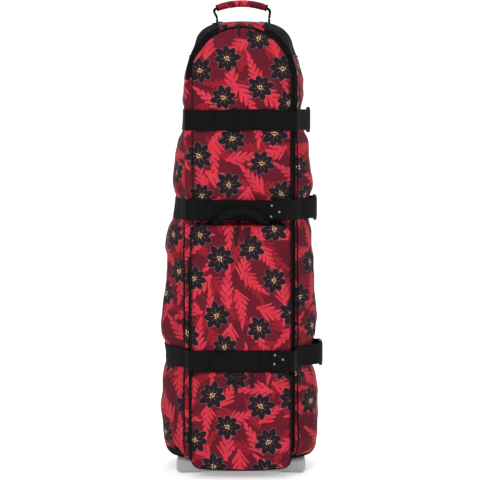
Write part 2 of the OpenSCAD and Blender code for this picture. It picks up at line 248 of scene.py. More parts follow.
# shade scales every colour of the print; below one it paints shade into the print
def printMaterial(name, shade=1.0):
    v = printLook
    material, tree, shader = newMaterial(name)
    cu, cv, cloth = uvParts(tree, "cloth")
    drift = noiseValue(tree, cloth, 9.0, 2.0)
    color = mixColor(tree, drift, shaded(v["ground"], shade), shaded(v["groundDark"], shade))
    leafTone = mixColor(tree, noiseValue(tree, cloth, 24.0, 2.0), shaded(v["leaf"], shade),
                        shaded(v["leafDark"], shade))
    backTone = mixColor(tree, noiseValue(tree, cloth, 14.0, 2.0), shaded(v["leafDark"], shade * 0.75),
                        shaded(v["leafDark"], shade * 0.42))
    color = mixColor(tree, sprigMask(tree, "sprigBack", v), color, backTone)
    color = mixColor(tree, sprigMask(tree, "sprigFront", v), color, leafTone)
    # blossom, in its own units: one is the radius
    fu, fv, _ = uvParts(tree, "blossom")
    radius = lengthOf(tree, fu, fv)
    angle = maths(tree, "ARCTAN2", fv, fu)
    count = v["petals"]
    sector = maths(tree, "MULTIPLY_ADD", angle, count / math.tau, count)
    index = maths(tree, "FLOOR", sector)
    offset = maths(tree, "SUBTRACT", maths(tree, "FRACT", sector), 0.5)
    uneven = maths(tree, "MULTIPLY_ADD", maths(tree, "SINE", maths(tree, "MULTIPLY", index, 2.7)), 0.07, 0.96)
    rel = maths(tree, "DIVIDE", radius, uneven)
    sectorWidth = maths(tree, "MULTIPLY", radius, math.tau / count)
    lateral = maths(tree, "MULTIPLY", maths(tree, "ABSOLUTE", offset), sectorWidth)
    swell = maths(tree, "ABSOLUTE", maths(tree, "DIVIDE", maths(tree, "SUBTRACT", rel, 0.60), 0.42))
    belly = maths(tree, "SUBTRACT", 1.0, maths(tree, "POWER", swell, 2.9))
    petalWidth = maths(tree, "MULTIPLY", belly, 0.245)
    taper = maths(tree, "MULTIPLY_ADD", rel, 0.55, 0.64, clamp=True)
    petalWidth = maths(tree, "MULTIPLY", petalWidth, taper)
    edge = maths(tree, "SUBTRACT", petalWidth, lateral)
    outline = softStep(tree, maths(tree, "ADD", edge, 0.026), 0.02)
    petal = softStep(tree, edge, 0.02)
    core = maths(tree, "LESS_THAN", radius, 0.40)
    color = mixColor(tree, outline, color, shaded(v["petalEdge"], shade))
    petalTone = mixColor(tree, noiseValue(tree, cloth, 60.0, 3.0), v["petal"], (0.019, 0.011, 0.015))
    color = mixColor(tree, maths(tree, "MAXIMUM", petal, core), color, petalTone)
    thread = maths(tree, "LESS_THAN", lateral, maths(tree, "MULTIPLY_ADD", radius, -0.022, 0.017))
    reach = between(tree, radius, 0.10, 0.5)
    color = mixColor(tree, maths(tree, "MULTIPLY", thread, reach), color, v["filament"])
    ringTurn = maths(tree, "MULTIPLY_ADD", angle, 7 / math.tau, 7.3)
    ringOffset = maths(tree, "MULTIPLY", maths(tree, "SUBTRACT", maths(tree, "FRACT", ringTurn), 0.5),
                       maths(tree, "MULTIPLY", radius, math.tau / 7))
    ringIndex = maths(tree, "FLOOR", ringTurn)
    dotTurn = maths(tree, "SINE", maths(tree, "MULTIPLY", ringIndex, 4.1))
    dotAway = maths(tree, "SUBTRACT", radius, maths(tree, "MULTIPLY_ADD", dotTurn, 0.06, 0.135))
    dotSize = lengthOf(tree, dotAway, ringOffset)
    dots = softStep(tree, maths(tree, "SUBTRACT", 0.036, dotSize), 0.02)
    color = mixColor(tree, dots, color, v["stamen"])
    tree.links.new(color, shader.inputs["Base Color"])
    shader.inputs["Roughness"].default_value = 0.72
    shader.inputs["Sheen Weight"].default_value = 0.012
    shader.inputs["Specular IOR Level"].default_value = 0.10
    crease = maths(tree, "MULTIPLY", noiseValue(tree, cloth, 38.0, 4.0), 6.0)
    bumpFrom(tree, shader, maths(tree, "ADD", weaveHeight(tree, cu, cv, 0.0014), crease), 0.22, 0.0004)
    return material


def webbingMaterial(name, color, pitch, roughness=0.62):
    material, tree, shader = newMaterial(name)
    u, v, cloth = uvParts(tree, "cloth")
    worn = noiseValue(tree, cloth, 45.0, 4.0)
    tree.links.new(mixColor(tree, worn, color, shaded(color, 1.7)), shader.inputs["Base Color"])
    shader.inputs["Roughness"].default_value = roughness
    shader.inputs["Specular IOR Level"].default_value = 0.05
    zig = maths(tree, "PINGPONG", maths(tree, "DIVIDE", u, pitch * 3), 1.0)
    lean = maths(tree, "MULTIPLY", zig, 5.0)
    ribs = maths(tree, "SINE", maths(tree, "MULTIPLY_ADD", v, math.tau / pitch, lean))
    bumpFrom(tree, shader, ribs, 0.55, 0.00045)
    return material


def mouldedMaterial(name, color, roughness, grain=900.0, strength=0.25, specular=0.5):
    material, tree, shader = newMaterial(name)
    point = objectPoint(tree)
    broad = noiseValue(tree, point, 14.0, 3.0)
    tone = mixColor(tree, broad, shaded(color, 0.86), shaded(color, 1.12))
    tree.links.new(tone, shader.inputs["Base Color"])
    scuff = noiseValue(tree, point, 60.0, 5.0)
    tree.links.new(maths(tree, "MULTIPLY_ADD", scuff, 0.22, roughness - 0.11), shader.inputs["Roughness"])
    shader.inputs["Specular IOR Level"].default_value = specular
    bumpFrom(tree, shader, noiseValue(tree, point, grain, 2.0), strength, 0.0002)
    return material


def metalMaterial(name, color, roughness):
    material, tree, shader = newMaterial(name)
    point = objectPoint(tree)
    brushed = noiseValue(tree, point, 220.0, 4.0)
    tree.links.new(mixColor(tree, brushed, color, shaded(color, 0.75)), shader.inputs["Base Color"])
    tree.links.new(maths(tree, "MULTIPLY_ADD", brushed, 0.25, roughness - 0.12), shader.inputs["Roughness"])
    shader.inputs["Metallic"].default_value = 1.0
    return material


def clothMaterial(name, color, pitch, roughness=0.8):
    material, tree, shader = newMaterial(name)
    u, v, cloth = uvParts(tree, "cloth")
    tone = noiseValue(tree, cloth, 30.0, 4.0)
    tree.links.new(mixColor(tree, tone, color, shaded(color, 1.6)), shader.inputs["Base Color"])
    shader.inputs["Roughness"].default_value = roughness
    shader.inputs["Specular IOR Level"].default_value = 0.045
    shader.inputs["Sheen Weight"].default_value = 0.0
    slub = maths(tree, "MULTIPLY", noiseValue(tree, cloth, 40.0), 4.0)
    height = maths(tree, "ADD", weaveHeight(tree, u, v, pitch), slub)
    bumpFrom(tree, shader, height, 0.4, 0.0004)
    return material


print("materials")
printedCloth = printMaterial("printedPolyester")
# painted shade: a copy of the print darkened to 0.8 for the case's sides, which lie in shade
printedPaintedShade = printMaterial("printedPolyesterPaintedShade", 0.80)
blackCloth = clothMaterial("blackPackCloth", (0.0042, 0.0042, 0.0048), 0.0013)
liningCloth = clothMaterial("greyLining", (0.045, 0.046, 0.052), 0.0010)
webbingBlack = webbingMaterial("blackWebbing", (0.0038, 0.0039, 0.0042), 0.0022)
tapeBlack = webbingMaterial("zipperTape", (0.0045, 0.0045, 0.0050), 0.0012, 0.7)
pipingBlack = clothMaterial("blackPiping", (0.0045, 0.0045, 0.0050), 0.0009, 0.55)
plasticBlack = mouldedMaterial("blackAcetal", (0.0060, 0.0060, 0.0066), 0.40, specular=0.25)
plasticGrey = mouldedMaterial("greyMoulding", (0.37, 0.375, 0.385), 0.48, 500.0, specular=0.4)
treadRubber = mouldedMaterial("wheelTread", (0.030, 0.030, 0.034), 0.55, 300.0)
plated = metalMaterial("platedSteel", (0.78, 0.78, 0.80), 0.30)
dulledSteel = metalMaterial("dulledSteel", (0.34, 0.34, 0.35), 0.42)
zincBlack = metalMaterial("blackZinc", (0.028, 0.028, 0.031), 0.42)
gripRubber = mouldedMaterial("pullRubber", (0.0060, 0.0060, 0.0068), 0.5, specular=0.2)
coilBlack = mouldedMaterial("coilNylon", (0.0080, 0.0080, 0.0090), 0.38, specular=0.3)


# mesh helpers; points are in millimetres in the frame's axes
def meshObject(name, points, faces, flat=None, smooth=True):
    mesh = bpy.data.meshes.new(name)
    mesh.from_pydata([tuple(c * mm for c in p) for p in points], [], faces)
    mesh.update()
    if flat is not None:
        layer = mesh.uv_layers.new(name="cloth")
        for loop in mesh.loops:
            layer.data[loop.index].uv = flat[loop.vertex_index]
    mesh.polygons.foreach_set("use_smooth", [smooth] * len(mesh.polygons))
    piece = bpy.data.objects.new(name, mesh)
    scene.collection.objects.link(piece)
    return piece


def frontFlat(row):
    # a front-facing row lies on the cut cloth as it hangs
    return [(p[0], p[2]) for p in row]


def gridPiece(name, rows, flatRows):
    # rows is a list of equally long rows of points; flatRows has each point's place on the cut cloth
    width = len(rows[0])
    points = [p for row in rows for p in row]
    flat = [(f[0] * mm, f[1] * mm) for row in flatRows for f in row]
    faces = []
    for j in range(len(rows) - 1):
        for i in range(width - 1):
            a = j * width + i
            faces.append((a, a + 1, a + width + 1, a + width))
    return meshObject(name, points, faces, flat)


def selectOnly(piece):
    if bpy.context.object and bpy.context.object.mode != "OBJECT":
        bpy.ops.object.mode_set(mode="OBJECT")
    bpy.ops.object.select_all(action="DESELECT")
    piece.select_set(True)
    bpy.context.view_layer.objects.active = piece


def applyAll(piece):
    selectOnly(piece)
    for modifier in list(piece.modifiers):
        bpy.ops.object.modifier_apply(modifier=modifier.name)


def addMaterials(piece, *materials):
    for material in materials:
        piece.data.materials.append(material)


def finishPiece(piece, body, slotName, *materials, replaces=()):
    if materials:
        piece.data.materials.clear()
        addMaterials(piece, *materials)
    applyAll(piece)
    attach(piece, body)
    if replaces:
        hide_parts(*replaces)
    return piece


def thicken(piece, thickness, offset=-1.0, inner=None, rim=None):
    modifier = piece.modifiers.new("thickness", "SOLIDIFY")
    modifier.thickness = thickness * mm
    modifier.offset = offset
    if inner is not None:
        modifier.material_offset = inner
        modifier.material_offset_rim = inner if rim is None else rim


def smoothFine(piece, levels=1):
    modifier = piece.modifiers.new("fine", "SUBSURF")
    modifier.levels = levels
    modifier.render_levels = levels


def fold(x, y, z, scale, amount):
    return amount * noise.noise(Vector((x / scale, y / scale, z / scale)))


# the print's layout: where blossoms and sprigs lie on the cut cloth
def scatter(low, high, pitch, jitter, rng):
    spots = []
    rows = int((high[1] - low[1]) / (pitch * 0.87)) + 2
    columns = int((high[0] - low[0]) / pitch) + 2
    for j in range(rows):
        for i in range(columns):
            x = low[0] + (i + 0.5 * (j % 2)) * pitch + rng.uniform(-jitter, jitter)
            y = low[1] + j * pitch * 0.87 + rng.uniform(-jitter, jitter)
            spots.append((x, y))
    return spots


def printLayout(low, high, seed, blossoms=()):
    rng = random.Random(seed)
    spots = [tuple(b) for b in blossoms]
    for x, y in scatter(low, high, 108, 20, rng):
        if all(math.hypot(x - a, y - b) > 82 for a, b in spots):
            spots.append((x, y))
    layout = {"blossom": [(x, y, rng.uniform(36, 41), rng.uniform(0, math.tau), 0.0) for x, y in spots]}
    for layer, shift, pitch in (("sprigFront", 0, 84), ("sprigBack", 47, 104)):
        sprigs = []
        first = (low[0] - 60 + shift, low[1] - 60 + shift)
        for x, y in scatter(first, (high[0] + 40, high[1] + 40), pitch, 14, rng):
            turn = rng.uniform(0, math.tau)
            size = rng.uniform(86, 114)
            sprigs.append((x - 0.5 * size * math.cos(turn), y - 0.5 * size * math.sin(turn), size, turn,
                           rng.uniform(-0.22, 0.22)))
        layout[layer] = sprigs
    return layout


def printCloth(piece, layout):
    mesh = piece.data
    count = len(mesh.loops)
    flat = np.empty(count * 2)
    mesh.uv_layers["cloth"].data.foreach_get("uv", flat)
    flat = flat.reshape(-1, 2) * 1000
    sizes = np.empty(len(mesh.polygons), int)
    mesh.polygons.foreach_get("loop_total", sizes)
    owner = np.repeat(np.arange(len(sizes)), sizes)
    centre = np.stack([np.bincount(owner, flat[:, k], len(sizes)) / sizes for k in (0, 1)], 1)
    for layer, marks in layout.items():
        marks = np.array(marks)
        turns = np.stack([np.cos(marks[:, 3]), np.sin(marks[:, 3])], 1)
        middle = marks[:, :2]
        if layer != "blossom":
            middle = middle + 0.5 * marks[:, 2:3] * turns
        best = np.full(len(sizes), np.inf)
        chosen = np.zeros(len(sizes), int)
        for k in range(len(marks)):
            away = centre - middle[k]
            if layer != "blossom":
                along = away @ turns[k]
                away = away - np.clip(along, -0.42 * marks[k, 2], 0.42 * marks[k, 2])[:, None] * turns[k]
            distance = np.hypot(away[:, 0], away[:, 1])
            nearer = distance < best
            best[nearer] = distance[nearer]
            chosen[nearer] = k
        mark = marks[chosen[owner]]
        turn = turns[chosen[owner]]
        local = flat - mark[:, :2]
        u = (local * turn).sum(1) / mark[:, 2]
        w = (local[:, 1] * turn[:, 0] - local[:, 0] * turn[:, 1]) / mark[:, 2]
        w = w - mark[:, 4] * u * (1 - u)
        uv = mesh.uv_layers.new(name=layer)
        uv.data.foreach_set("uv", np.stack([u, w], 1).astype(np.float32).ravel())
    return piece


frontBlossoms = [
    (47, 1222), (-38, 1168), (-112, 1136), (112, 1140), (52, 1090), (-48, 1062),
    (-24, 948), (92, 962), (-118, 900), (56, 880), (-34, 822), (-110, 790), (112, 796),
    (28, 645), (-58, 618), (92, 700), (90, 558), (-130, 562), (-68, 460), (50, 424), (142, 466), (-46, 372),
    (-14, 288), (-80, 236), (54, 206), (142, 226), (-38, 148), (76, 106), (-128, 110), (-76, 34),
]
frontLayout = printLayout((-150, 20), (150, 1270), 11, frontBlossoms)
sideLayout = printLayout((-40, 20), (760, 1320), 23)
crownLayout = printLayout((-200, -120), (220, 200), 31, [(-40, -40), (70, 30)])

def boxOf(node):
    low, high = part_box(node)
    return [c * 1000 for c in low], [c * 1000 for c in high]


# driving sizes of the case, from the frame
shellLow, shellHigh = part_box("left_gusset")
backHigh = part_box("back_panel")[1]
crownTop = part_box("crown_gusset")[1].z * 1000
doorLow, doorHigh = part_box("door_panel")
seamY = shellLow.y * 1000
backY = backHigh.y * 1000
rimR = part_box("rim_zipper_tape")[1].x * 1000
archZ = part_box("rim_zipper_tape")[1].z * 1000 - rimR
doorFront = doorLow.y * 1000
halfW = -shellLow.x * 1000
fullFront = -10.0
strapNames = ["1", "2", "3"]
strapBoxes = [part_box("strap_front_" + n) for n in strapNames]
strapZ = [(low.z + high.z) * 500 for low, high in strapBoxes]
strapW = (strapBoxes[0][1].z - strapBoxes[0][0].z) * 1000

# Silhouette of the filled case: (half width, height), bottom to crown.
silhouette = [
    (halfW - 57, 38), (halfW - 33, 41), (halfW - 14, 68), (halfW - 3, 124), (halfW, 176), (halfW - 4, 433),
    (halfW - 15, 656), (halfW - 37, 947), (halfW - 59, crownTop - 144), (halfW - 79, crownTop - 75),
    (halfW - 90, crownTop - 46), (halfW - 107, crownTop - 26), (halfW - 132, crownTop - 13),
    (halfW - 162, crownTop - 6), (0, crownTop - 3),
]
sideX = np.array([p[0] for p in silhouette])
sideZ = np.array([p[1] for p in silhouette])


def sideHalf(z):
    return float(np.interp(z, sideZ[:-1], sideX[:-1]))


def smoothLine(values, steps):
    # points on a smooth curve through the given ones
    out = []
    count = len(values)
    for i in range(count - 1):
        p0, p1, p2, p3 = (np.array(values[min(max(i + k, 0), count - 1)], float) for k in (-1, 0, 1, 2))
        for s in range(steps):
            t = s / steps
            out.append(0.5 * ((2 * p1) + (p2 - p0) * t + (2 * p0 - 5 * p1 + 4 * p2 - p3) * t * t
                              + (3 * p1 - p0 - 3 * p2 + p3) * t ** 3))
    out.append(np.array(values[-1], float))
    return out


# the shell: rings from the door seam to the back, each a full outline of the case
shell = {"cinch": 5.0, "bulge": 3.0, "foldSize": 120.0, "foldDepth": 9.0, "thickness": 3.0, "backRound": 30.0}


def outlinePairs():
    # for the right half, bottom to top: the rim's point, the full outline's point and a label
    pairs = []
    for k in range(7):
        t = k / 6
        pairs.append(((120 * t, 44), ((halfW - 57) * t, 40), "bottom"))
    corner = smoothLine([(halfW - 57, 38), (halfW - 33, 41), (halfW - 14, 68), (halfW - 3, 130)], 4)
    for k in range(1, 13):
        a = math.radians(-90 + 90 * k / 12)
        pairs.append(((120 + 30 * math.cos(a), 74 + 30 * math.sin(a)), tuple(corner[k]), "corner"))
    for k in range(1, 121):
        t = k / 120
        z = 74 + (archZ - 74) * t
        zFull = 130 + (archZ - 130) * t
        pairs.append(((rimR, z), (sideHalf(zFull), zFull), "side"))
    top = smoothLine([(sideHalf(archZ), archZ)] + silhouette[9:], 10)
    angles = [math.atan2(p[1] - archZ, p[0]) for p in top]
    for k in range(1, 33):
        a = math.pi / 2 * k / 32
        x = float(np.interp(a, angles, [p[0] for p in top]))
        z = float(np.interp(a, angles, [p[1] for p in top]))
        pairs.append(((rimR * math.cos(a), archZ + rimR * math.sin(a)), (x, z), "arch"))
    return pairs


def shellPoint(rim, full, y):
    # a point of the shell at depth y on the line of the outline from its rim point to its full point
    t = min(max((y - seamY) / (fullFront + 6 - seamY), 0.0), 1.0)
    w = 1 - (1 - t) ** 1.7
    x = rim[0] + (full[0] - rim[0]) * w
    z = rim[1] + (full[1] - rim[1]) * w
    start = backY - shell["backRound"] - 12
    if y > start:
        s = min((y - start) / (backY - start), 1.0)
        pull = shell["backRound"] * (1 - math.sqrt(max(1 - s * s, 0)))
        length = math.hypot(x, (z - 640) * 0.35) or 1
        x -= pull * x / length * 0.9
        z -= pull * (z - 640) / 640
    return x, y, z, w


# How the filled case sags to each side: (height, mm added to the half width), left then right.
sway = {
    -1: [(40, 12), (85, 9), (130, 2), (420, 3), (600, 2), (627, 7), (661, 4), (700, -3), (800, -8),
         (864, -11), (965, -7), (1067, -13), (1134, -8), (1168, -4), (1202, -8), (1250, -8)],
    1: [(40, 10), (85, 4), (130, 0), (187, -5), (254, -13), (390, -10), (525, -6), (610, -10),
        (694, -7), (800, 2), (864, 6), (965, 4), (1100, 5), (1168, 7), (1250, 5)],
}


def pressedAt(z, reach):
    # one under a strap, falling to nothing over the reach beside it
    return min(sum(math.exp(-(max(abs(z - s) - strapW / 2, 0) / reach) ** 2) for s in strapZ), 1)


def swayAt(x, z):
    side = 1 if x > 0 else -1
    heights = [p[0] for p in sway[side]]
    amount = float(np.interp(z, heights, [p[1] for p in sway[side]]))
    if amount > 0:
        amount *= 1 - pressedAt(z, 24)
    return amount * min(abs(x) / 60, 1)


def cinchAt(z):
    # how far the cloth is drawn in by the straps, and how far it swells between them
    return shell["bulge"] - (shell["cinch"] + shell["bulge"]) * pressedAt(z, 20)


def shellSoft(x, y, z, w):
    size = shell["foldSize"]
    depth = shell["foldDepth"] * min(w * 1.2, 1)
    move = depth * noise.noise(Vector((x / size + 3.1, y / size, z / (size * 0.8))))
    free = depth * (1 - 0.75 * pressedAt(z, 30))
    move += 0.42 * free * noise.noise(Vector((x / 45, y / 60 + 7.7, z / 38)))
    move += 0.55 * free * noise.noise(Vector((9.1 if x > 0 else 2.2, y / 26, z / 150)))
    move += cinchAt(z) * min(w * 1.4, 1) * (1 if z < archZ else max(0.0, 1 - (z - archZ) / 60))
    length = math.hypot(x, 40) or 1
    move = move if 90 < z < 1240 else 0.4 * move
    return x + (move + swayAt(x, z) * min(w * 1.15, 1)) * x / length


def buildShell():
    pairs = outlinePairs()
    outline = pairs + [((-r[0], r[1]), (-f[0], f[1]), tag) for r, f, tag in pairs[-2::-1]]
    depths = [seamY + (fullFront + 6 - seamY) * (k / 12) for k in range(12)]
    depths += [0, 15, 30, 45, 60, 75, 90, 100]
    depths += [backY - 42 * (1 - math.sin(math.pi / 2 * k / 8)) for k in range(9)]
    rows, flatRows = [], []
    for y in depths:
        row, flatRow = [], []
        for rim, full, tag in outline:
            x, yy, z, w = shellPoint(rim, full, y)
            x = shellSoft(x, yy, z, w)
            row.append((x, yy, z))
            flatRow.append((x + 8, yy) if full[1] > archZ + 95 and abs(full[0]) < 140 else
                           ((yy - seamY) * 1.15 + (380 if x < 0 else 0), z))
        rows.append(row)
        flatRows.append(flatRow)
    last = rows[-1]
    width = len(outline)
    for k in range(1, 8):
        f = 1 - k / 8
        row, flatRow = [], []
        for i in range(width):
            x, y, z = last[i]
            flatness = math.sin(math.pi / 2 * (1 - f))
            row.append((x * f, backY + 1.5 * flatness + fold(x * f, 0, z, 110, 2.2) * flatness - 1.5, z))
            flatRow.append((x * f + 480, z))
        rows.append(row)
        flatRows.append(flatRow)
    rows.append([(0, backY + fold(0, 0, p[2], 110, 2.2), p[2]) for p in last])
    flatRows.append([(480, p[2]) for p in last])
    piece = gridPiece("caseShell", rows, flatRows)
    # the two halves of the last row meet along the middle of the back
    fixNormals(piece, merge=0.0002)
    # the shell takes the darkened copy of the print, painted shade on its sides
    addMaterials(piece, printedPaintedShade, blackCloth, liningCloth)
    cut = piece.data.uv_layers["cloth"]
    for face in piece.data.polygons:
        if face.center.y * 1000 > backY - 4:
            for corner in face.loop_indices:
                place = piece.data.vertices[piece.data.loops[corner].vertex_index].co
                cut.data[corner].uv = (place.x + 480 * mm, place.z)
        c = face.center * 1000
        low = 70 if c.x < 0 else 0
        angle = math.degrees(math.atan2(c.z - archZ, abs(c.x)))
        shoulder = c.y < backY - 30 and 22 < angle < 66
        corner = c.z < low and abs(c.x) > 150 - (c.z - 52) * 0.2 and c.y > seamY + 22
        face.material_index = 1 if shoulder or corner or c.z < 50 else 0
    cutWheelBays(piece)
    thicken(piece, shell["thickness"], inner=2)
    finishPiece(piece, "case", "printed_polyester",
                replaces=("back_panel", "left_gusset", "right_gusset", "crown_gusset", "bottom_panel"))
    printCloth(piece, sideLayout)
    return rows


bay = {"innerX": 110.0, "frontY": 86.0, "topZ": 76.0}


def cutWheelBays(piece):
    # opens the two rear lower corners, where the wheel housings sit
    selectOnly(piece)
    bpy.ops.object.mode_set(mode="EDIT")
    planes = [((bay["innerX"], 0, 0), (1, 0, 0)), ((-bay["innerX"], 0, 0), (1, 0, 0)),
              ((0, bay["frontY"], 0), (0, 1, 0)), ((0, 0, bay["topZ"]), (0, 0, 1))]
    for place, normal in planes:
        bpy.ops.mesh.select_all(action="SELECT")
        bpy.ops.mesh.bisect(plane_co=[c * mm for c in place], plane_no=normal)
    bpy.ops.mesh.select_all(action="DESELECT")
    bpy.ops.object.mode_set(mode="OBJECT")
    for face in piece.data.polygons:
        c = face.center * 1000
        face.select = abs(c.x) > bay["innerX"] and c.y > bay["frontY"] and c.z < bay["topZ"]
    bpy.ops.object.mode_set(mode="EDIT")
    bpy.ops.mesh.select_mode(type="FACE")
    bpy.ops.mesh.delete(type="FACE")
    bpy.ops.mesh.select_mode(type="VERT")
    bpy.ops.object.mode_set(mode="OBJECT")


# small makers used by many pieces
def tubeAlong(name, path, radius, sides=8, closed=False):
    # a round cord of cloth along the path
    count = len(path)
    points, flat = [], []
    travelled = 0.0
    side = None
    for i in range(count):
        here = Vector(path[i])
        after = Vector(path[(i + 1) % count if closed else min(i + 1, count - 1)])
        before = Vector(path[(i - 1) % count if closed else max(i - 1, 0)])
        along = (after - before).normalized()
        if side is None:
            side = along.orthogonal().normalized()
        side = (side - along * side.dot(along)).normalized()
        other = along.cross(side)
        for k in range(sides):
            a = math.tau * k / sides
            points.append(tuple(here + side * radius * math.cos(a) + other * radius * math.sin(a)))
            flat.append((travelled * mm, radius * a * mm))
        travelled += (after - here).length
    faces = []
    for i in range(count if closed else count - 1):
        j = (i + 1) % count
        for k in range(sides):
            m = (k + 1) % sides
            faces.append((i * sides + k, i * sides + m, j * sides + m, j * sides + k))
    if not closed:
        faces.append(tuple(range(sides))[::-1])
        faces.append(tuple((count - 1) * sides + k for k in range(sides)))
    piece = meshObject(name, points, faces, flat)
    fixNormals(piece)
    return piece


def fixNormals(piece, merge=0.0):
    # merge joins points that lie closer than it, in metres
    selectOnly(piece)
    bpy.ops.object.mode_set(mode="EDIT")
    bpy.ops.mesh.select_all(action="SELECT")
    if merge:
        bpy.ops.mesh.remove_doubles(threshold=merge)
    bpy.ops.mesh.normals_make_consistent(inside=False)
    bpy.ops.object.mode_set(mode="OBJECT")


def ribbon(name, path, across, width, thickness, rows=7, wave=0.0):
    # a flat band: path is its centre line and across the direction of its width
    gridRows, flatRows = [], []
    travelled = 0.0
    for i, p in enumerate(path):
        if i:
            travelled += (Vector(p) - Vector(path[i - 1])).length
        side = Vector(across(i) if callable(across) else across).normalized()
        shift = fold(p[0], p[1], p[2], 70, wave)
        row, flatRow = [], []
        for k in range(rows):
            f = (k / (rows - 1) - 0.5) * width
            row.append(tuple(Vector(p) + side * (f + shift)))
            flatRow.append((f, travelled))
        gridRows.append(row)
        flatRows.append(flatRow)
    piece = gridPiece(name, gridRows, flatRows)
    thicken(piece, thickness, offset=0.0)
    return piece


def joinPieces(name, pieces):
    bpy.ops.object.select_all(action="DESELECT")
    for piece in pieces:
        piece.select_set(True)
    bpy.context.view_layer.objects.active = pieces[0]
    bpy.ops.object.join()
    joined = bpy.context.object
    joined.name = name
    return joined


def moulded(name, low, high, edge, segments=3):
    # a moulded block between two corners, in millimetres, with rounded edges
    bpy.ops.object.select_all(action="DESELECT")
    middle = [(a + b) / 2 * mm for a, b in zip(low, high)]
    bpy.ops.mesh.primitive_cube_add(size=1, location=middle)
    piece = bpy.context.object
    piece.name = name
    piece.scale = [(b - a) * mm for a, b in zip(low, high)]
    bpy.ops.object.transform_apply(location=True, rotation=True, scale=True)
    bpy.ops.object.mode_set(mode="EDIT")
    bpy.ops.mesh.select_all(action="SELECT")
    bpy.ops.mesh.bevel(offset=edge * mm, segments=segments, affect="EDGES")
    bpy.ops.object.mode_set(mode="OBJECT")
    bpy.ops.object.shade_smooth_by_angle(angle=math.radians(40))
    return piece


def cylinder(name, centre, radius, length, axis, edge=0.6, sides=40):
    bpy.ops.object.select_all(action="DESELECT")
    turn = {"X": (0, math.pi / 2, 0), "Y": (math.pi / 2, 0, 0), "Z": (0, 0, 0)}[axis]
    bpy.ops.mesh.primitive_cylinder_add(vertices=sides, radius=radius * mm, depth=length * mm,
                                        location=[c * mm for c in centre], rotation=turn)
    piece = bpy.context.object
    piece.name = name
    bpy.ops.object.transform_apply(location=True, rotation=True, scale=True)
    if edge:
        modifier = piece.modifiers.new("edge", "BEVEL")
        modifier.width = edge * mm
        modifier.segments = 2
        modifier.limit_method = "ANGLE"
    applyAll(piece)
    bpy.ops.object.shade_smooth_by_angle(angle=math.radians(40))
    return piece


def cutAway(piece, cutters):
    for cutter in cutters:
        modifier = piece.modifiers.new("cut", "BOOLEAN")
        modifier.operation = "DIFFERENCE"
        modifier.solver = "EXACT"
        modifier.object = cutter
    applyAll(piece)
    for cutter in cutters:
        bpy.data.objects.remove(cutter)
    selectOnly(piece)
    bpy.ops.object.shade_smooth_by_angle(angle=math.radians(40))


def puff(piece, pinned, pressure, slack, cap, frames=20):
    # lets the cloth swell and wrinkle between the points that are sewn or strapped down
    group = piece.vertex_groups.new(name="held")
    group.add(pinned, 1.0, "REPLACE")
    modifier = piece.modifiers.new("swell", "CLOTH")
    settings = modifier.settings
    settings.vertex_group_mass = "held"
    settings.quality = 6
    settings.mass = 0.25
    settings.tension_stiffness = 20
    settings.compression_stiffness = 12
    settings.bending_stiffness = 0.35
    settings.use_pressure = True
    settings.uniform_pressure_force = pressure
    settings.shrink_min = -slack
    settings.effector_weights.gravity = 0
    modifier.collision_settings.use_collision = False
    for frame_number in range(1, frames + 1):
        scene.frame_set(frame_number)
    swollen = piece.evaluated_get(bpy.context.evaluated_depsgraph_get()).to_mesh()
    moved = [v.co.copy() for v in swollen.vertices]
    piece.modifiers.remove(modifier)
    for vertex, place in zip(piece.data.vertices, moved):
        step = place - vertex.co
        if step.length > cap * mm:
            step = step.normalized() * cap * mm
        vertex.co = vertex.co + step
    scene.frame_set(1)


# the skin's width at any depth and height, as the shell is built
def skinAt(y, z, side):
    t = min(max((y - seamY) / (fullFront + 6 - seamY), 0.0), 1.0)
    w = 1 - (1 - t) ** 1.7
    share = (z - 74 - 56 * w) / ((archZ - 74) - 56 * w)
    zFull = 130 + (archZ - 130) * share
    x, yy, zz, w = shellPoint((rimR, 74 + (archZ - 74) * share), (sideHalf(zFull), zFull), y)
    return shellSoft(side * x, yy, zz, w) * side


def rimHalf(z, inset, bottom=30.0):
    # half width of the door's outline at height z, drawn in by inset
    if z > archZ:
        return math.sqrt(max((rimR - inset) ** 2 - (z - archZ) ** 2, 0.0))
    if z < bottom + 30:
        return rimR - 30 + math.sqrt(max((30 - inset) ** 2 - (bottom + 30 - z) ** 2, 0.0))
    return rimR - inset


def rimPath(inset, y, low=75.0, step=6):
    # along the rim, over the arch and down the right side
    r = rimR - inset
    path = []
    count = int(math.pi * r / step)
    for k in range(count + 1):
        a = math.radians(180.0 * (1 - k / count))
        path.append((r * math.cos(a), y, archZ + r * math.sin(a)))
    count = int((archZ - low) / step)
    path += [(r, y, archZ - (archZ - low) * k / count) for k in range(1, count + 1)]
    return path


# piping along the shell's edges
piping = {"radius": 2.4, "rimRadius": 2.0, "facing": 64.0}


def faceCrown(piece):
    # the middle of the crown is printed, the rest of an edge is black
    for face in piece.data.polygons:
        crown = face.center.z * 1000 > archZ and abs(face.center.x) * 1000 < piping["facing"]
        face.material_index = 1 if crown else 0


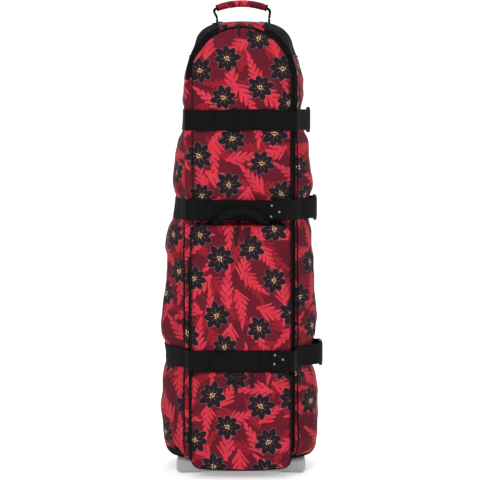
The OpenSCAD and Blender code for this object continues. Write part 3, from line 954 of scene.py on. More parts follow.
def buildPiping(rows):
    seams = {"pipingRim": (1, piping["rimRadius"]), "pipingBack": (len(rows) - 12, piping["radius"])}
    for name, (index, radius) in seams.items():
        kept = [p for p in rows[index] if p[2] > 96 or index == 1]
        path = [tuple(Vector(p) + Vector((0.008 * p[0], 0, 0))) for p in kept]
        piece = tubeAlong(name, path, radius)
        applyAll(piece)
        addMaterials(piece, pipingBlack, printedCloth)
        faceCrown(piece)
        printCloth(piece, crownLayout)
        finishPiece(piece, "case", "black_webbing")
    # the black shoulder panels have a cord along their lower and upper seams
    for side in (-1, 1):
        for label, angle in (("Low", 22.0), ("High", 66.0)):
            path = []
            for row in rows[1:len(rows) - 10]:
                turns = [math.degrees(math.atan2(p[2] - archZ, side * p[0])) for p in row]
                best = row[min(range(len(row)), key=lambda i: abs(turns[i] - angle))]
                path.append((best[0] * 1.006, best[1], best[2] + 1))
            name = "pipingShoulder" + label + ("Left" if side < 0 else "Right")
            finishPiece(tubeAlong(name, path, 2.0), "case", "black_webbing", pipingBlack)


# door: flat panel, padded upper front, two pockets
door = {"flat": 5.0, "padInset": 12.6, "hingeInset": 15.0, "padDepth": 25.0, "padSwell": 6.0}


def doorRows(inset, low, high, archSteps=16, step=12.0):
    zs = []
    count = int((min(high, archZ) - low) / step)
    zs += [low + (min(high, archZ) - low) * k / count for k in range(count)]
    if high > archZ:
        for k in range(archSteps + 1):
            zs.append(archZ + (rimR - inset) * math.sin(math.radians(88.5 * k / archSteps)))
    return zs


def buildDoorPanel():
    low, high = doorLow.z * 1000, doorHigh.z * 1000
    inset = rimR - doorHigh.x * 1000
    zs = [low, low + 3, low + 8, low + 15] + doorRows(inset, low + 24, high)
    rows, flatRows = [], []
    for z in zs:
        half = rimHalf(z, inset)
        row = [(half * (2 * k / 24 - 1), doorFront, z) for k in range(25)]
        rows.append(row)
        flatRows.append(frontFlat(row))
    piece = gridPiece("doorPanel", rows, flatRows)
    thicken(piece, door["flat"], inner=1)
    modifier = piece.modifiers.new("edge", "BEVEL")
    modifier.width = 1.2 * mm
    modifier.segments = 2
    modifier.limit_method = "ANGLE"
    finishPiece(piece, "door", "printed_polyester", printedCloth, liningCloth, replaces=("door_panel",))
    printCloth(piece, frontLayout)


def padDepthAt(x, z, edge, low):
    rise = 1 - (1 - min(max(edge, 0.0) / 58, 1.0)) ** 2.3
    rise = min(rise, 1 - (1 - min((z - low) / 26, 1.0)) ** 2 * 0.62)
    depth = 2.4 + (door["padDepth"] - 2.4) * rise
    pulled = sum(math.exp(-((z - s) / 40) ** 2) for s in strapZ[:2])
    depth += door["padSwell"] * rise * (1 - min(pulled, 1))
    near = min(abs(abs(z - s) - strapW / 2) for s in strapZ[:2])
    pucker = 1.3 * math.exp(-near / 26) * noise.noise(Vector((x / 15, 4.4, z / 160)))
    return depth + rise * (fold(x, 9, z, 85, 2.4) + pucker)


def buildUpperPanel():
    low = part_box("upper_panel_pad")[0].z * 1000
    zs = doorRows(door["padInset"], low, 2000, 26, 7.0)
    rows, flatRows = [], []
    columns = 44
    for z in zs:
        half = rimHalf(z, door["padInset"])
        lift = math.sqrt(max(1 - max((z - archZ) / (rimR - door["padInset"]), 0) ** 2, 0))
        left = half + (door["padInset"] - door["hingeInset"]) * lift
        row = []
        for k in range(columns + 1):
            f = 0.5 - 0.5 * math.cos(math.pi * k / columns)
            f = 0.45 * f + 0.55 * k / columns
            x = -left + (left + half) * f
            radial = math.hypot(x, max(z - archZ, 0.0))
            edge = (left if x < 0 else half) - abs(x) if z <= archZ else rimR - door["padInset"] - radial
            row.append((x, doorFront - padDepthAt(x, z, edge, low), z))
        rows.append(row)
        flatRows.append(frontFlat(row))
    piece = gridPiece("upperPanel", rows, flatRows)
    pinned = []
    for v in piece.data.vertices:
        x, y, z = v.co * 1000
        held = any(abs(z - s) < strapW / 2 - 4 for s in strapZ[:2])
        if y > doorFront - 4 or held or z < low + 4:
            pinned.append(v.index)
    puff(piece, pinned, 2.2, 0.035, 7.0)
    thicken(piece, 2.0, offset=-1.0, inner=1)
    finishPiece(piece, "door", "printed_polyester", printedCloth, liningCloth, replaces=("upper_panel_pad",))
    printCloth(piece, frontLayout)
    edge = [row[0] for row in rows[::2]] + [row[-1] for row in rows[::-2]]
    edge = [(p[0], p[1] + 0.5, p[2]) for p in edge]
    finishPiece(tubeAlong("upperPanelPiping", edge, 1.4), "door", "black_webbing", pipingBlack)


pockets = {
    "pocket1": {"low": 301, "body": "flap_1", "crease": 364, "nodes": ("pocket_1_gusset", "pocket_1_flap")},
    "pocket2": {"low": 36, "body": "flap_2", "crease": 40, "nodes": ("pocket_2_gusset", "pocket_2_flap")},
}
pocketShape = {"corner": 24.0, "wall": 3.0, "swell": 6.5, "tape": 9.0, "sag": 13.0}


def sagged(x, z, half):
    # the lower pocket hangs over the edge of the base
    near = min(max((110 - z) / 70, 0), 1)
    return z - pocketShape["sag"] * near * (1 - 0.6 * (x / half) ** 2)


def pocketPath(half, low, high, corner, step=8.0, hang=1.0):
    # the pocket's outline from the middle of its bottom, anticlockwise, with outward normals
    out = []
    for cx, cz, a0 in ((1, 0, -90), (1, 1, 0), (-1, 1, 90), (-1, 0, 180)):
        centre = (cx * (half - corner), (high - corner) if cz else (low + corner))
        for k in range(9):
            a = math.radians(a0 + 90 * k / 8)
            c, s = math.cos(a), math.sin(a)
            out.append((centre[0] + corner * c, centre[1] + corner * s, c, s))
    full = []
    for i, p in enumerate(out):
        q = out[(i + 1) % len(out)]
        count = max(int(math.hypot(q[0] - p[0], q[1] - p[1]) / step), 1)
        for k in range(count):
            f = k / count
            x, z, nx, nz = (a + (b - a) * f for a, b in zip(p, q))
            full.append((x, z + (sagged(x, z, half) - z) * hang, nx, nz))
    return full


def buildPocket(name, v):
    boxLow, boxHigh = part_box(v["nodes"][0])
    half = boxHigh.x * 1000
    low, high = boxLow.z * 1000, boxHigh.z * 1000
    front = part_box(v["nodes"][1])[1].y * 1000
    ys = [doorFront - 0.3] + [doorFront - 2 - (doorFront - 2 - front - 0.2) * k / 9 for k in range(10)]
    rows, flatRows = [], []
    for y in ys:
        t = (doorFront - y) / (doorFront - front)
        path = pocketPath(half, low, high, pocketShape["corner"], 8.0, min(t * 2.5, 1))
        row, flatRow = [], []
        travelled = 0.0
        for x, z, nx, nz in path + [path[0]]:
            bow = math.sin(math.pi * min(t, 1)) * (1.5 + fold(x * 2, y, z, 60, 3.0)) * abs(nx)
            row.append((x + nx * (bow - 0.4), y, z + nz * (min(bow, 0.5) - 0.4)))
            flatRow.append((travelled, y + 200))
            travelled += 8
        rows.append(row)
        flatRows.append(flatRow)
    gusset = gridPiece(name + "Gusset", rows, flatRows)
    fixNormals(gusset, merge=0.0001)
    addMaterials(gusset, printedCloth, tapeBlack, liningCloth)
    for face in gusset.data.polygons:
        if face.center.y * 1000 < front + pocketShape["tape"]:
            face.material_index = 1
    thicken(gusset, pocketShape["wall"], inner=2, rim=1)
    finishPiece(gusset, "door", "printed_polyester", replaces=(v["nodes"][0],))
    printCloth(gusset, sideLayout)
    buildPocketFront(name, v, half, low, high, front)


def buildPocketFront(name, v, half, low, high, front):
    corner = pocketShape["corner"]
    zs = [low + d for d in (0, 1, 3, 6, 10, 15, 21)]
    count = int((high - low - 48) / 7.5)
    zs += [low + corner + 4 + (high - low - 2 * corner - 8) * k / count for k in range(count + 1)]
    zs += [high - d for d in (21, 15, 10, 6, 3, 1, 0)]
    columns = 42
    rows, flatRows = [], []
    for z in zs:
        near = min(z - low, high - z)
        inset = corner - math.sqrt(max(corner ** 2 - max(corner - near, 0) ** 2, 0))
        wide = half - inset
        row = []
        for k in range(columns + 1):
            f = 0.5 * k / columns + 0.5 * (0.5 - 0.5 * math.cos(math.pi * k / columns))
            x = -wide + 2 * wide * f
            edge = min(wide - abs(x), near)
            rise = 1 - (1 - min(edge / 60, 1.0)) ** 2.4
            pulled = math.exp(-((z - strapZ[2]) / 46) ** 2)
            depth = 1.6 + rise * (3.2 + pocketShape["swell"] * (1 - min(pulled * 1.1, 1)))
            slider = math.exp(-((z - high + 10) / 16) ** 2) * min(max((128 - abs(x)) / 18, 0), 1)
            depth = depth * (1 - slider) + 3.2 * slider
            pucker = 1.2 * math.exp(-abs(abs(z - strapZ[2]) - strapW / 2) / 24) * fold(x, 5, z / 8, 15, 1.0)
            depth += rise * (1 - slider) * (fold(x, 30, z, 80, 2.2) + pucker)
            row.append((x, front - depth, sagged(x, z, half)))
        rows.append(row)
        flatRows.append(frontFlat(row))
    piece = gridPiece(name + "Front", rows, flatRows)
    pinned = []
    for vertex in piece.data.vertices:
        x, y, z = vertex.co * 1000
        strapped = abs(z - strapZ[2]) < strapW / 2 - 2
        zipped = high - 30 < z and abs(x) < 122
        if y > front - 2.6 or strapped or zipped:
            pinned.append(vertex.index)
    puff(piece, pinned, 1.6, 0.03, 3.5)
    thicken(piece, 2.0, inner=1)
    finishPiece(piece, v["body"], "printed_polyester", printedCloth, liningCloth, replaces=(v["nodes"][1],))
    piece.parent = None
    piece.matrix_world = Matrix.Identity(4)
    printCloth(piece, frontLayout)
    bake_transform(piece)
    edge = [(p[0] * 1.004, front + 0.4, p[1]) for p in pocketPath(half, low, high, corner)]
    cord = tubeAlong(name + "Piping", edge, 3.0, closed=True)
    applyAll(cord)
    cord.data.materials.append(pipingBlack)
    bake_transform(cord)


# zippers: tapes, teeth and the sewn hinge
zipper = {"toothPitch": 3.4, "pocketPitch": 3.4, "tooth": (2.6, 2.2, 1.7)}


def radialBand(name, insets, y, body, thickness, node, wave=0.5):
    # a flat band round the arch and down the right side, between two insets from the rim
    rows, flatRows = [], []
    outer = rimPath(0, y)
    travelled = 0.0
    for p in outer:
        out = Vector((p[0], 0, max(p[2] - archZ, 0))).normalized()
        centre = Vector((0, y, max(p[2], 0) if p[2] < archZ else archZ))
        row, flatRow = [], []
        for f in (0, 0.25, 0.5, 0.75, 1):
            inset = insets[0] + (insets[1] - insets[0]) * f
            spot = centre + out * (rimR - inset)
            row.append((spot.x, y + fold(p[0], 3, p[2], 40, wave), spot.z))
            flatRow.append((inset, travelled))
        rows.append(row)
        flatRows.append(flatRow)
        travelled += 6
    piece = gridPiece(name, rows, flatRows)
    thicken(piece, thickness, offset=0.0)
    applyAll(piece)
    piece.data.materials.append(tapeBlack)
    if body == "case":
        piece.data.materials.append(printedCloth)
        faceCrown(piece)
        printCloth(piece, crownLayout)
    finishPiece(piece, body, "black_webbing", replaces=(node,))


def teethAlong(name, path, size, body, lift):
    # a row of small moulded teeth, alternately leaning to each side of the path
    points, faces = [], []
    for k in range(1, len(path) - 1):
        here = Vector(path[k])
        along = (Vector(path[k + 1]) - Vector(path[k - 1])).normalized()
        front = Vector((0, -1, 0))
        side = along.cross(front).normalized()
        start = len(points)
        lean = 0.6 if k % 2 else -0.6
        for a in (-1, 1):
            for b in (-1, 1):
                for c in (0, 1):
                    taper = 1 - 0.3 * c
                    spot = here + side * (lean + a * size[0] / 2 * taper) + along * (b * size[1] / 2 * taper)
                    points.append(tuple(spot + front * (lift + c * size[2])))
        for quad in ((0, 1, 3, 2), (4, 6, 7, 5), (0, 4, 5, 1), (2, 3, 7, 6), (1, 5, 7, 3), (0, 2, 6, 4)):
            faces.append(tuple(start + q for q in quad))
    piece = meshObject(name, points, faces, None, smooth=False)
    fixNormals(piece)
    finishPiece(piece, body, "black_plastic", coilBlack)


def buildZippers():
    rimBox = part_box("rim_zipper_tape")
    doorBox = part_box("door_zipper_tape")
    radialBand("rimTape", (-2.0, 7.4), rimBox[0].y * 1000 + 0.7, "case", 1.2, "rim_zipper_tape")
    radialBand("doorTape", (8.2, 13.2), doorBox[0].y * 1000 + 0.8, "door", 1.2, "door_zipper_tape")
    path = rimPath(8.4, doorBox[0].y * 1000, step=zipper["toothPitch"])
    teethAlong("zipperTeeth", path, zipper["tooth"], "door", 0.2)
    for name, v in pockets.items():
        boxLow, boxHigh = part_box(v["nodes"][0])
        half, low, high = boxHigh.x * 1000, boxLow.z * 1000, boxHigh.z * 1000
        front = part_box(v["nodes"][1])[1].y * 1000
        around = pocketPath(half, low, high, pocketShape["corner"], zipper["pocketPitch"])
        ring = [(x - nx * 3.4, front - 1.6, z - nz * 3.4) for x, z, nx, nz in around if z > v["crease"] + 6]
        # the row starts after the widest gap, which is the fold
        gaps = [(Vector(a) - Vector(b)).length for a, b in zip(ring, ring[1:])]
        if max(gaps) > 20:
            first = gaps.index(max(gaps)) + 1
            ring = ring[first:] + ring[:first]
        teethAlong(name + "Teeth", ring, (2.2, 1.9, 1.4), v["body"], 1.6)


# below this height the hinge strip's door side is painted black as shade
hinge = {"low": 46.0, "high": 1110.0, "paintedShadeBelow": 610.0}


def buildHinge():
    # the strip of cloth that the door hangs on, sewn to the case and to the door
    rows, flatRows = [], []
    count = 90
    for k in range(count + 1):
        z = hinge["low"] + (hinge["high"] - hinge["low"]) * k / count
        row = [(-max(skinAt(seamY + back, z, -1), rimR + 2.5) + sunk, seamY + back, z)
               for back, sunk in ((9.0, 1.0), (4.5, 0.2))]
        for j in range(9):
            f = j / 8
            x = -rimR - 6 + 23 * f
            y = seamY - 3.6 * math.sin(math.pi * f ** 0.7) - 5.4 * min(f * 1.3, 1) + fold(x, 2, z, 30, 0.5)
            row.append((x, y, z))
        rows.append(row)
        flatRows.append(frontFlat(row))
    piece = gridPiece("hingeStrip", rows, flatRows)
    thicken(piece, 1.6, offset=0.0)
    applyAll(piece)
    addMaterials(piece, printedCloth, pipingBlack)
    # painted shade: faces below that height and nearest the door take black cloth for the shadowed gap beside
    # the pockets
    for face in piece.data.polygons:
        paintedShade = face.center.z * 1000 < hinge["paintedShadeBelow"] and face.center.x * 1000 > -rimR + 3
        face.material_index = 1 if paintedShade else 0
    printCloth(piece, frontLayout)
    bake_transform(piece)


# compression straps
strap = {"thickness": 2.2, "turns": (118, 122, 141)}


def frontRun(n):
    # plan of the strap over the door, from the hinge to the buckle
    face = -(strapBoxes[n][0].y * 1000)
    turn = strap["turns"][n]
    inner = face - 1.4
    left = [(-rimR + 3, -112), (-turn - 9, -inner + 8), (-turn + 6, -inner + 0.6)]
    if turn > rimR - 15:
        left = [(-rimR + 1, -112), (-turn - 9.6, -117), (-turn - 9.6, -127), (-turn - 8.6, -inner + 12),
                (-turn - 4.5, -inner + 4), (-turn + 6, -inner + 0.6)]
    middle = [(x, -inner - 0.8 * math.cos(math.pi * x / 2 / turn)) for x in (-turn * 0.6, 0, turn * 0.6)]
    right = [(turn - 6, -inner + 0.6), (turn + 9, -inner + 8), (rimR + 5, -103)]
    side = []
    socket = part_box("buckle_female_" + strapNames[n])[0].x * 1000
    for y in (-88, -68, -46, -24, -5, 6):
        near = min(max((y + 60) / 45, 0), 1)
        side.append(((skinAt(y, strapZ[n], 1) + 5.2) * (1 - near) + (socket + 4.2) * near, y))
    return [tuple(p) for p in smoothLine(left + middle + right + side, 7)]


def rearRun(n):
    # plan of the strap round the back, from the buckle's bar to the hinge
    z = strapZ[n]
    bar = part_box("buckle_male_" + strapNames[n])[0].x * 1000
    right = [(bar + 5.6, 62), (bar + 6.2, 70), (bar + 3.0, 78)]
    right += [(skinAt(y, z, 1) + 1.8, y) for y in (95, 110, 122)]
    right += [(skinAt(y, z, 1) + 1.6, y + 1.4) for y in (132, 140, 146)]
    ends = skinAt(147, z, 1) - 14, -skinAt(147, z, -1) + 14
    across = [(x, backY + 3.0) for x in (ends[0], 90, 40, 0, -40, -90, ends[1])]
    left = [(-skinAt(y, z, -1) - 1.6, y + 1.4) for y in (146, 140, 132)]
    left += [(-skinAt(y, z, -1) - 1.8, y) for y in (122, 100, 70, 40, 10, -15, -40, -62)]
    left.append((-skinAt(-80, z, -1) - 3.4, -80))
    return [tuple(p) for p in smoothLine(right + across + left, 6)]


def drape(piece, middle):
    # leans a strap's edges with the side of the case, so that it lies flat on the cloth
    for vertex in piece.data.vertices:
        x, y, z = vertex.co * 1000
        side = 1 if x > 0 else -1
        near = min(max((abs(x) - 110) / 30, 0), 1)
        near *= min(max((y - 80) / 15, 0), 1) if x > 0 else min(max((y + 100) / 20, 0), 1)
        if near:
            vertex.co.x += side * (skinAt(y, z, side) - skinAt(y, middle, side)) * near * mm


def buildStraps():
    for n in range(3):
        z = strapZ[n]
        name = strapNames[n]
        path = [(x, y, z) for x, y in frontRun(n)]
        piece = ribbon("strapFront" + name, path, (0, 0, 1), strapW, strap["thickness"], 9, 3.0)
        finishPiece(piece, "door", "black_webbing", webbingBlack, replaces=("strap_front_" + name,))
        back = [(x, y, z) for x, y in rearRun(n)]
        piece = ribbon("strapRear" + name, back, (0, 0, 1), strapW, strap["thickness"], 9, 1.2)
        drape(piece, z)
        finishPiece(piece, "case", "black_webbing", webbingBlack, replaces=("strap_rear_" + name,))
        corner = [(-skinAt(y, z, -1) - 4.8, y) for y in (-88, -95)]
        corner += [(-rimR - 6.6, -102.5), (-rimR - 3.0, -109.6)]
        turned = [back[-2], back[-1]] + [(x, y, z) for x, y in corner] + [path[0], path[1]]
        link = [tuple(p) for p in smoothLine(turned, 4)][2:-2]
        bridge = ribbon("strapLink" + name, link, (0, 0, 1), strapW - 1, strap["thickness"] * 0.9, 7)
        drape(bridge, z)
        applyAll(bridge)
        bridge.data.materials.append(webbingBlack)
        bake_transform(bridge)
        layered(n, path)


overlays = [
    {"strap": 0, "from": -72, "to": 34, "width": 56, "rise": 2.4, "name": "strapFold1"},
    {"strap": 0, "from": -27, "to": -6, "width": 64, "rise": 4.0, "name": "strapKeeper1"},
    {"strap": 1, "from": -96, "to": 132, "width": 55, "rise": 2.3, "name": "strapFold2"},
    {"strap": 1, "from": 68, "to": 126, "width": 57, "rise": 3.4, "name": "rivetPatch2"},
    {"strap": 2, "from": -88, "to": 60, "width": 55, "rise": 2.3, "name": "strapFold3"},
    {"strap": 2, "from": 80, "to": 134, "width": 57, "rise": 2.5, "name": "rivetPatch3"},
]


def layered(n, path):
    # folded-back webbing, keepers and the riveted patches that lie on the front run
    for v in overlays:
        if v["strap"] != n:
            continue
        part = [(x, y - v["rise"], z) for x, y, z in path if v["from"] <= x <= v["to"] and y < -115]
        part = [(part[0][0] - 2, part[0][1] + v["rise"] * 0.7, part[0][2])] + part
        part.append((part[-1][0] + 2, part[-1][1] + v["rise"] * 0.7, part[-1][2]))
        piece = ribbon(v["name"], part, (0, 0, 1), v["width"], 1.8, 7, 3.0)
        finishPiece(piece, "door", "black_webbing", webbingBlack)


def rivetHead(centre, radius, height):
    # a domed head that faces the front
    rings = [(radius, 0), (radius, 0.35 * height), (radius * 0.86, 0.75 * height), (radius * 0.5, height)]
    points, faces = [], []
    sides = 20
    for r, h in rings:
        for k in range(sides):
            a = math.tau * k / sides
            points.append((centre[0] + r * math.cos(a), centre[1] - h, centre[2] + r * math.sin(a)))
    for j in range(len(rings) - 1):
        for k in range(sides):
            m = (k + 1) % sides
            faces.append((j * sides + k, j * sides + m, (j + 1) * sides + m, (j + 1) * sides + k))
    faces.append(tuple((len(rings) - 1) * sides + k for k in range(sides)))
    faces.append(tuple(range(sides))[::-1])
    return points, faces


rivets = {"at": [(1, 85, 13.5), (1, 106, -4.5), (1, 83, -17), (2, 94, 17), (2, 116, 4.5), (2, 92.5, -8)],
          "radius": 3.2, "height": 1.8, "proud": [0, 5.0, 4.0]}


def buildRivets():
    heads = []
    for n, x, dz in rivets["at"]:
        face = strapBoxes[n][0].y * 1000 + 1.4 - rivets["proud"][n]
        points, faces = rivetHead((x, face, strapZ[n] + dz), rivets["radius"], rivets["height"])
        heads.append(meshObject("rivet", points, faces))
        fixNormals(heads[-1])
    piece = joinPieces("strapRivets", heads)
    finishPiece(piece, "door", "bright_metal", dulledSteel, replaces=("strap_rivets",))


def buildBuckles():
    # side-release buckles: a socket on the door's strap end and a two-pronged half on the case
    for n in range(3):
        name = strapNames[n]
        low, high = boxOf("buckle_female_" + name)
        z = (low[2] + high[2]) / 2
        body = moulded("socket", low, high, 3.4, 4)
        hollow = moulded("hollow", (low[0] - 4, low[1] + 8, low[2] + 5),
                         (high[0] - 3, high[1] + 3, high[2] - 5), 1.5, 2)
        x0, x1 = low[0] - 2, high[0] + 3
        window = moulded("window", (x0, low[1] + 13, z - 12), (x1, low[1] + 30, z + 12), 3.0, 3)
        notches = [moulded("notch", (x0, high[1] - 24, at - 4), (x1, high[1] - 8, at + 4), 2.5, 3)
                   for at in (z - 37, z + 37)]
        cutAway(body, [hollow, window] + notches)
        rib = moulded("rib", (high[0] - 1.4, low[1] + 2, z - 28), (high[0] + 1.0, low[1] + 7, z + 28), 1.1, 3)
        bar = moulded("bar", (high[0] - 1.4, high[1] - 6, z - 26),
                      (high[0] + 0.8, high[1] - 3, z + 26), 0.9, 3)
        socket = joinPieces("buckleSocket" + name, [body, rib, bar])
        finishPiece(socket, "door", "black_plastic", plasticBlack, replaces=("buckle_female_" + name,))
        low, high = boxOf("buckle_male_" + name)
        x0, x1 = low[0], high[0]
        parts = [
            moulded("shoulder", (x0, 38, z - 32), (x1, 53, z + 32), 1.4, 3),
            moulded("armLow", (x0, 50, z - 33), (x1, high[1], z - 29), 1.2, 3),
            moulded("armHigh", (x0, 50, z + 29), (x1, high[1], z + 33), 1.2, 3),
            moulded("bar", (x0, high[1] - 5.5, z - 31), (x1, high[1], z + 31), 1.5, 3),
            moulded("guide", (x0 + 0.2, 5, z - 4), (x1 - 0.2, 40, z + 4), 1.3, 3),
            moulded("prongLow", (x0 + 0.2, 0, z - 27), (x1 - 0.2, 40, z - 18), 1.6, 3),
            moulded("prongHigh", (x0 + 0.2, 0, z + 18), (x1 - 0.2, 40, z + 27), 1.6, 3),
        ]
        prongs = joinPieces("buckleProngs" + name, parts)
        finishPiece(prongs, "case", "black_plastic", plasticBlack, replaces=("buckle_male_" + name,))


# handles
grab = {"radius": 85.0, "width": 21.0, "thickness": 3.4, "rootX": 68.0, "rootHalf": 9.0, "ends": (136, 44)}


def buildGrabHandle():
    low, high = boxOf("grab_handle")
    face = low[1] + 2.0
    centre = high[2] - grab["radius"] - grab["width"] / 2
    path = []
    for k in range(33):
        a = math.radians(grab["ends"][0] + (grab["ends"][1] - grab["ends"][0]) * k / 32)
        bowed = face - 0.6 * math.sin(math.pi * k / 32)
        path.append((grab["radius"] * math.cos(a), bowed, centre + grab["radius"] * math.sin(a)))
    piece = ribbon("grabBand", path, lambda i: (path[i][0], 0, path[i][2] - centre),
                   grab["width"], grab["thickness"], 7)
    edges = []
    for side in (-1, 1):
        grow = 1 + side * grab["width"] / 2 / grab["radius"]
        rim = [(p[0] * grow, p[1], centre + (p[2] - centre) * grow) for p in path]
        edges.append(tubeAlong("grabEdge", rim, 2.3))
    applyAll(piece)
    roots = []
    for s in (-1, 1):
        x = s * grab["rootX"]
        roots.append(moulded("grabRoot", (x - grab["rootHalf"], face - 1.8, low[2]),
                             (x + grab["rootHalf"], -139.5, low[2] + 11), 1.6, 3))
        roots[-1].data.uv_layers.new(name="cloth")
    whole = joinPieces("grabHandle", [piece] + edges + roots)
    finishPiece(whole, "grab_handle", "black_webbing", webbingBlack, replaces=("grab_handle",))


topHandle = {"gripRadius": 203.0, "legHalf": 17.5, "rootHalf": 5.5, "sleeveFrom": 110.3}


def gripPoint(a, r):
    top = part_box("handle_sleeve")[1].z * 1000
    return 2 + r * math.cos(math.radians(a)), top - 210 + r * math.sin(math.radians(a))


def buildTopHandle():
    v = topHandle
    root = boxOf("handle_webbing")[0][2]
    arch = [gripPoint(a, v["gripRadius"] - 2) for a in np.linspace(110.5, 69.5, 24)]
    left = [(-67.5, root), (-70.5, root + 8), (-75.3, root + 17), (-75.5, root + 24)]
    right = [(79.5, root + 24), (81.6, root + 17), (80.3, root + 8), (79.2, root)]
    plan = [tuple(p) for p in smoothLine(left, 5)] + arch[1:-1] + [tuple(p) for p in smoothLine(right, 5)]
    rows, flatRows = [], []
    travelled = 0.0
    for i, (x, z) in enumerate(plan):
        if i:
            travelled += math.hypot(x - plan[i - 1][0], z - plan[i - 1][1])
        wide = v["rootHalf"] + (v["legHalf"] - v["rootHalf"]) * min(max((z - root) / 17, 0), 1)
        row = [(x, wide * (k / 4 - 1), z) for k in range(9)]
        rows.append(row)
        flatRows.append([(wide * (k / 4 - 1), travelled) for k in range(9)])
    legs = gridPiece("topHandleWebbing", rows, flatRows)
    fixNormals(legs)
    thicken(legs, 6.6, offset=0.0)
    finishPiece(legs, "top_handle", "black_webbing", webbingBlack, replaces=("handle_webbing",))
    # padded sleeve, swollen between its sewn ends
    rows, flatRows = [], []
    steps, sides = 36, 28
    for i in range(steps + 1):
        f = i / steps
        a = math.radians(v["sleeveFrom"] - (2 * v["sleeveFrom"] - 180) * f)
        cx, cz = gripPoint(math.degrees(a), v["gripRadius"] - 2.6)
        end = min(f, 1 - f)
        full = 0.80 + 0.20 * math.sqrt(min(end / 0.10, 1.0))
        tall = 9.6 * full + fold(cx, 0, 3, 16, 0.5)
        deep = 21.4 * (0.94 + 0.06 * full)
        row, flatRow = [], []
        for k in range(sides):
            b = math.tau * k / sides
            c, s = math.cos(b), math.sin(b)
            radial = tall * math.copysign(abs(s) ** 0.8, s)
            depth = deep * math.copysign(abs(c) ** 0.7, c)
            row.append((cx + radial * math.cos(a), depth, cz + radial * math.sin(a)))
            flatRow.append((f * 132, b * 12))
        rows.append(row + [row[0]])
        flatRows.append(flatRow + [(f * 132, math.tau * 12)])
    sleeve = gridPiece("handleSleeve", rows, flatRows)
    closeTube(sleeve)
    smoothFine(sleeve)
    finishPiece(sleeve, "top_handle", "printed_polyester", printedCloth, replaces=("handle_sleeve",))
    printCloth(sleeve, sleeveLayout)
    for label, index in (("Left", 0), ("Right", -1)):
        ring = rows[index][:-1]
        band = tubeAlong("sleeveBinding" + label, ring, 2.6, closed=True)
        finishPiece(band, "top_handle", "black_webbing", pipingBlack)


sleeveLayout = printLayout((-20, -20), (160, 100), 41)
sleeveLayout["blossom"] = [(-400.0, -400.0, 38.0, 0.0, 0.0)]


def closeTube(piece):
    selectOnly(piece)
    bpy.ops.object.mode_set(mode="EDIT")
    bpy.ops.mesh.select_all(action="SELECT")
    bpy.ops.mesh.remove_doubles(threshold=0.00005)
    bpy.ops.mesh.select_all(action="DESELECT")
    bpy.ops.mesh.select_non_manifold()
    bpy.ops.mesh.edge_face_add()
    bpy.ops.mesh.select_all(action="SELECT")
    bpy.ops.mesh.normals_make_consistent(inside=False)
    bpy.ops.object.mode_set(mode="OBJECT")


chape = {"rise": 0.8, "stubs": (-67.5, 79.2), "neckTop": 1283.2, "tabTop": 1279.6}


def crownAt(x):
    line = silhouette[:8:-1]
    return float(np.interp(abs(x), [p[0] for p in line], [p[1] for p in line]))


def buildChapes():
    # folded webbing tabs that sew the handle's roots to the crown
    for side in (-1, 1):
        path = []
        for k in range(11):
            x = side * (52 + 3.0 * k)
            path.append((x, 0, crownAt(x) + chape["rise"]))
        piece = ribbon("chape" + ("Left" if side < 0 else "Right"), path, (0, 1, 0), 30, 1.6, 5)
        finishPiece(piece, "case", "black_webbing", webbingBlack, replaces=("handle_chapes",))
    for x in chape["stubs"]:
        base = crownAt(x) - 4
        neck = moulded("chapeNeck", (x - 3.2, -2.9, base), (x + 3.2, 2.9, chape["neckTop"]), 1.2, 2)
        tab = moulded("chapeTab", (x - 3.3, -14, base), (x + 3.3, 14, chape["tabTop"]), 1.6, 2)
        whole = joinPieces("chapeStub" + ("Left" if x < 0 else "Right"), [tab, neck])
        finishPiece(whole, "case", "black_webbing", pipingBlack)


# zipper sliders and pulls
slide = {"pinToBack": 8.4, "clear": 0.3}


def sliderShape(name):
    # a slider about its pull's pin: two plates, a wedge between them and a bridge
    parts = [
        moulded("topPlate", (-5.7, 3.5, -6), (5.7, 5.2, 8), 0.7, 3),
        moulded("bottomPlate", (-5.7, 6.8, -6), (5.7, 8.2, 8), 0.6, 3),
        moulded("wedge", (-2.4, 4.8, 1), (2.4, 7.2, 7.6), 0.5, 2),
        moulded("bridgeLeft", (-5.9, -1.9, -2), (-3.9, 4.2, 2.4), 0.8, 3),
        moulded("bridgeRight", (3.9, -1.9, -2), (5.9, 4.2, 2.4), 0.8, 3),
        cylinder("pin", (0, 0, 0), 1.5, 9.0, "X", 0.3, 20),
    ]
    return joinPieces(name, parts)


def pullShape(name, length):
    # a metal eye, a cord and a moulded grip with ribs
    eye = cylinder("eye", (0, 0, 0), 3.1, 6.8, "X", 0.8, 24)
    hole = cylinder("hole", (0, 0, 0), 1.7, 12, "X", 0, 20)
    cutAway(eye, [hole])
    neck = moulded("neck", (-3.0, -1.1, 8 - length), (3.0, 1.1, -1.6), 0.9, 3)
    grip = moulded("grip", (-5.2, -2.2, -length), (5.2, 2.2, -14), 1.9, 4)
    ribs = [moulded("rib", (-4.4, -2.7, -length + 5 + 4.2 * k), (4.4, 2.7, -length + 6.8 + 4.2 * k), 0.7, 2)
            for k in range(int((length - 22) / 4.2) + 1)]
    return joinPieces(name, [eye, neck, grip] + ribs)


def placeMesh(piece, matrix):
    piece.data.transform(matrix)
    piece.data.update()


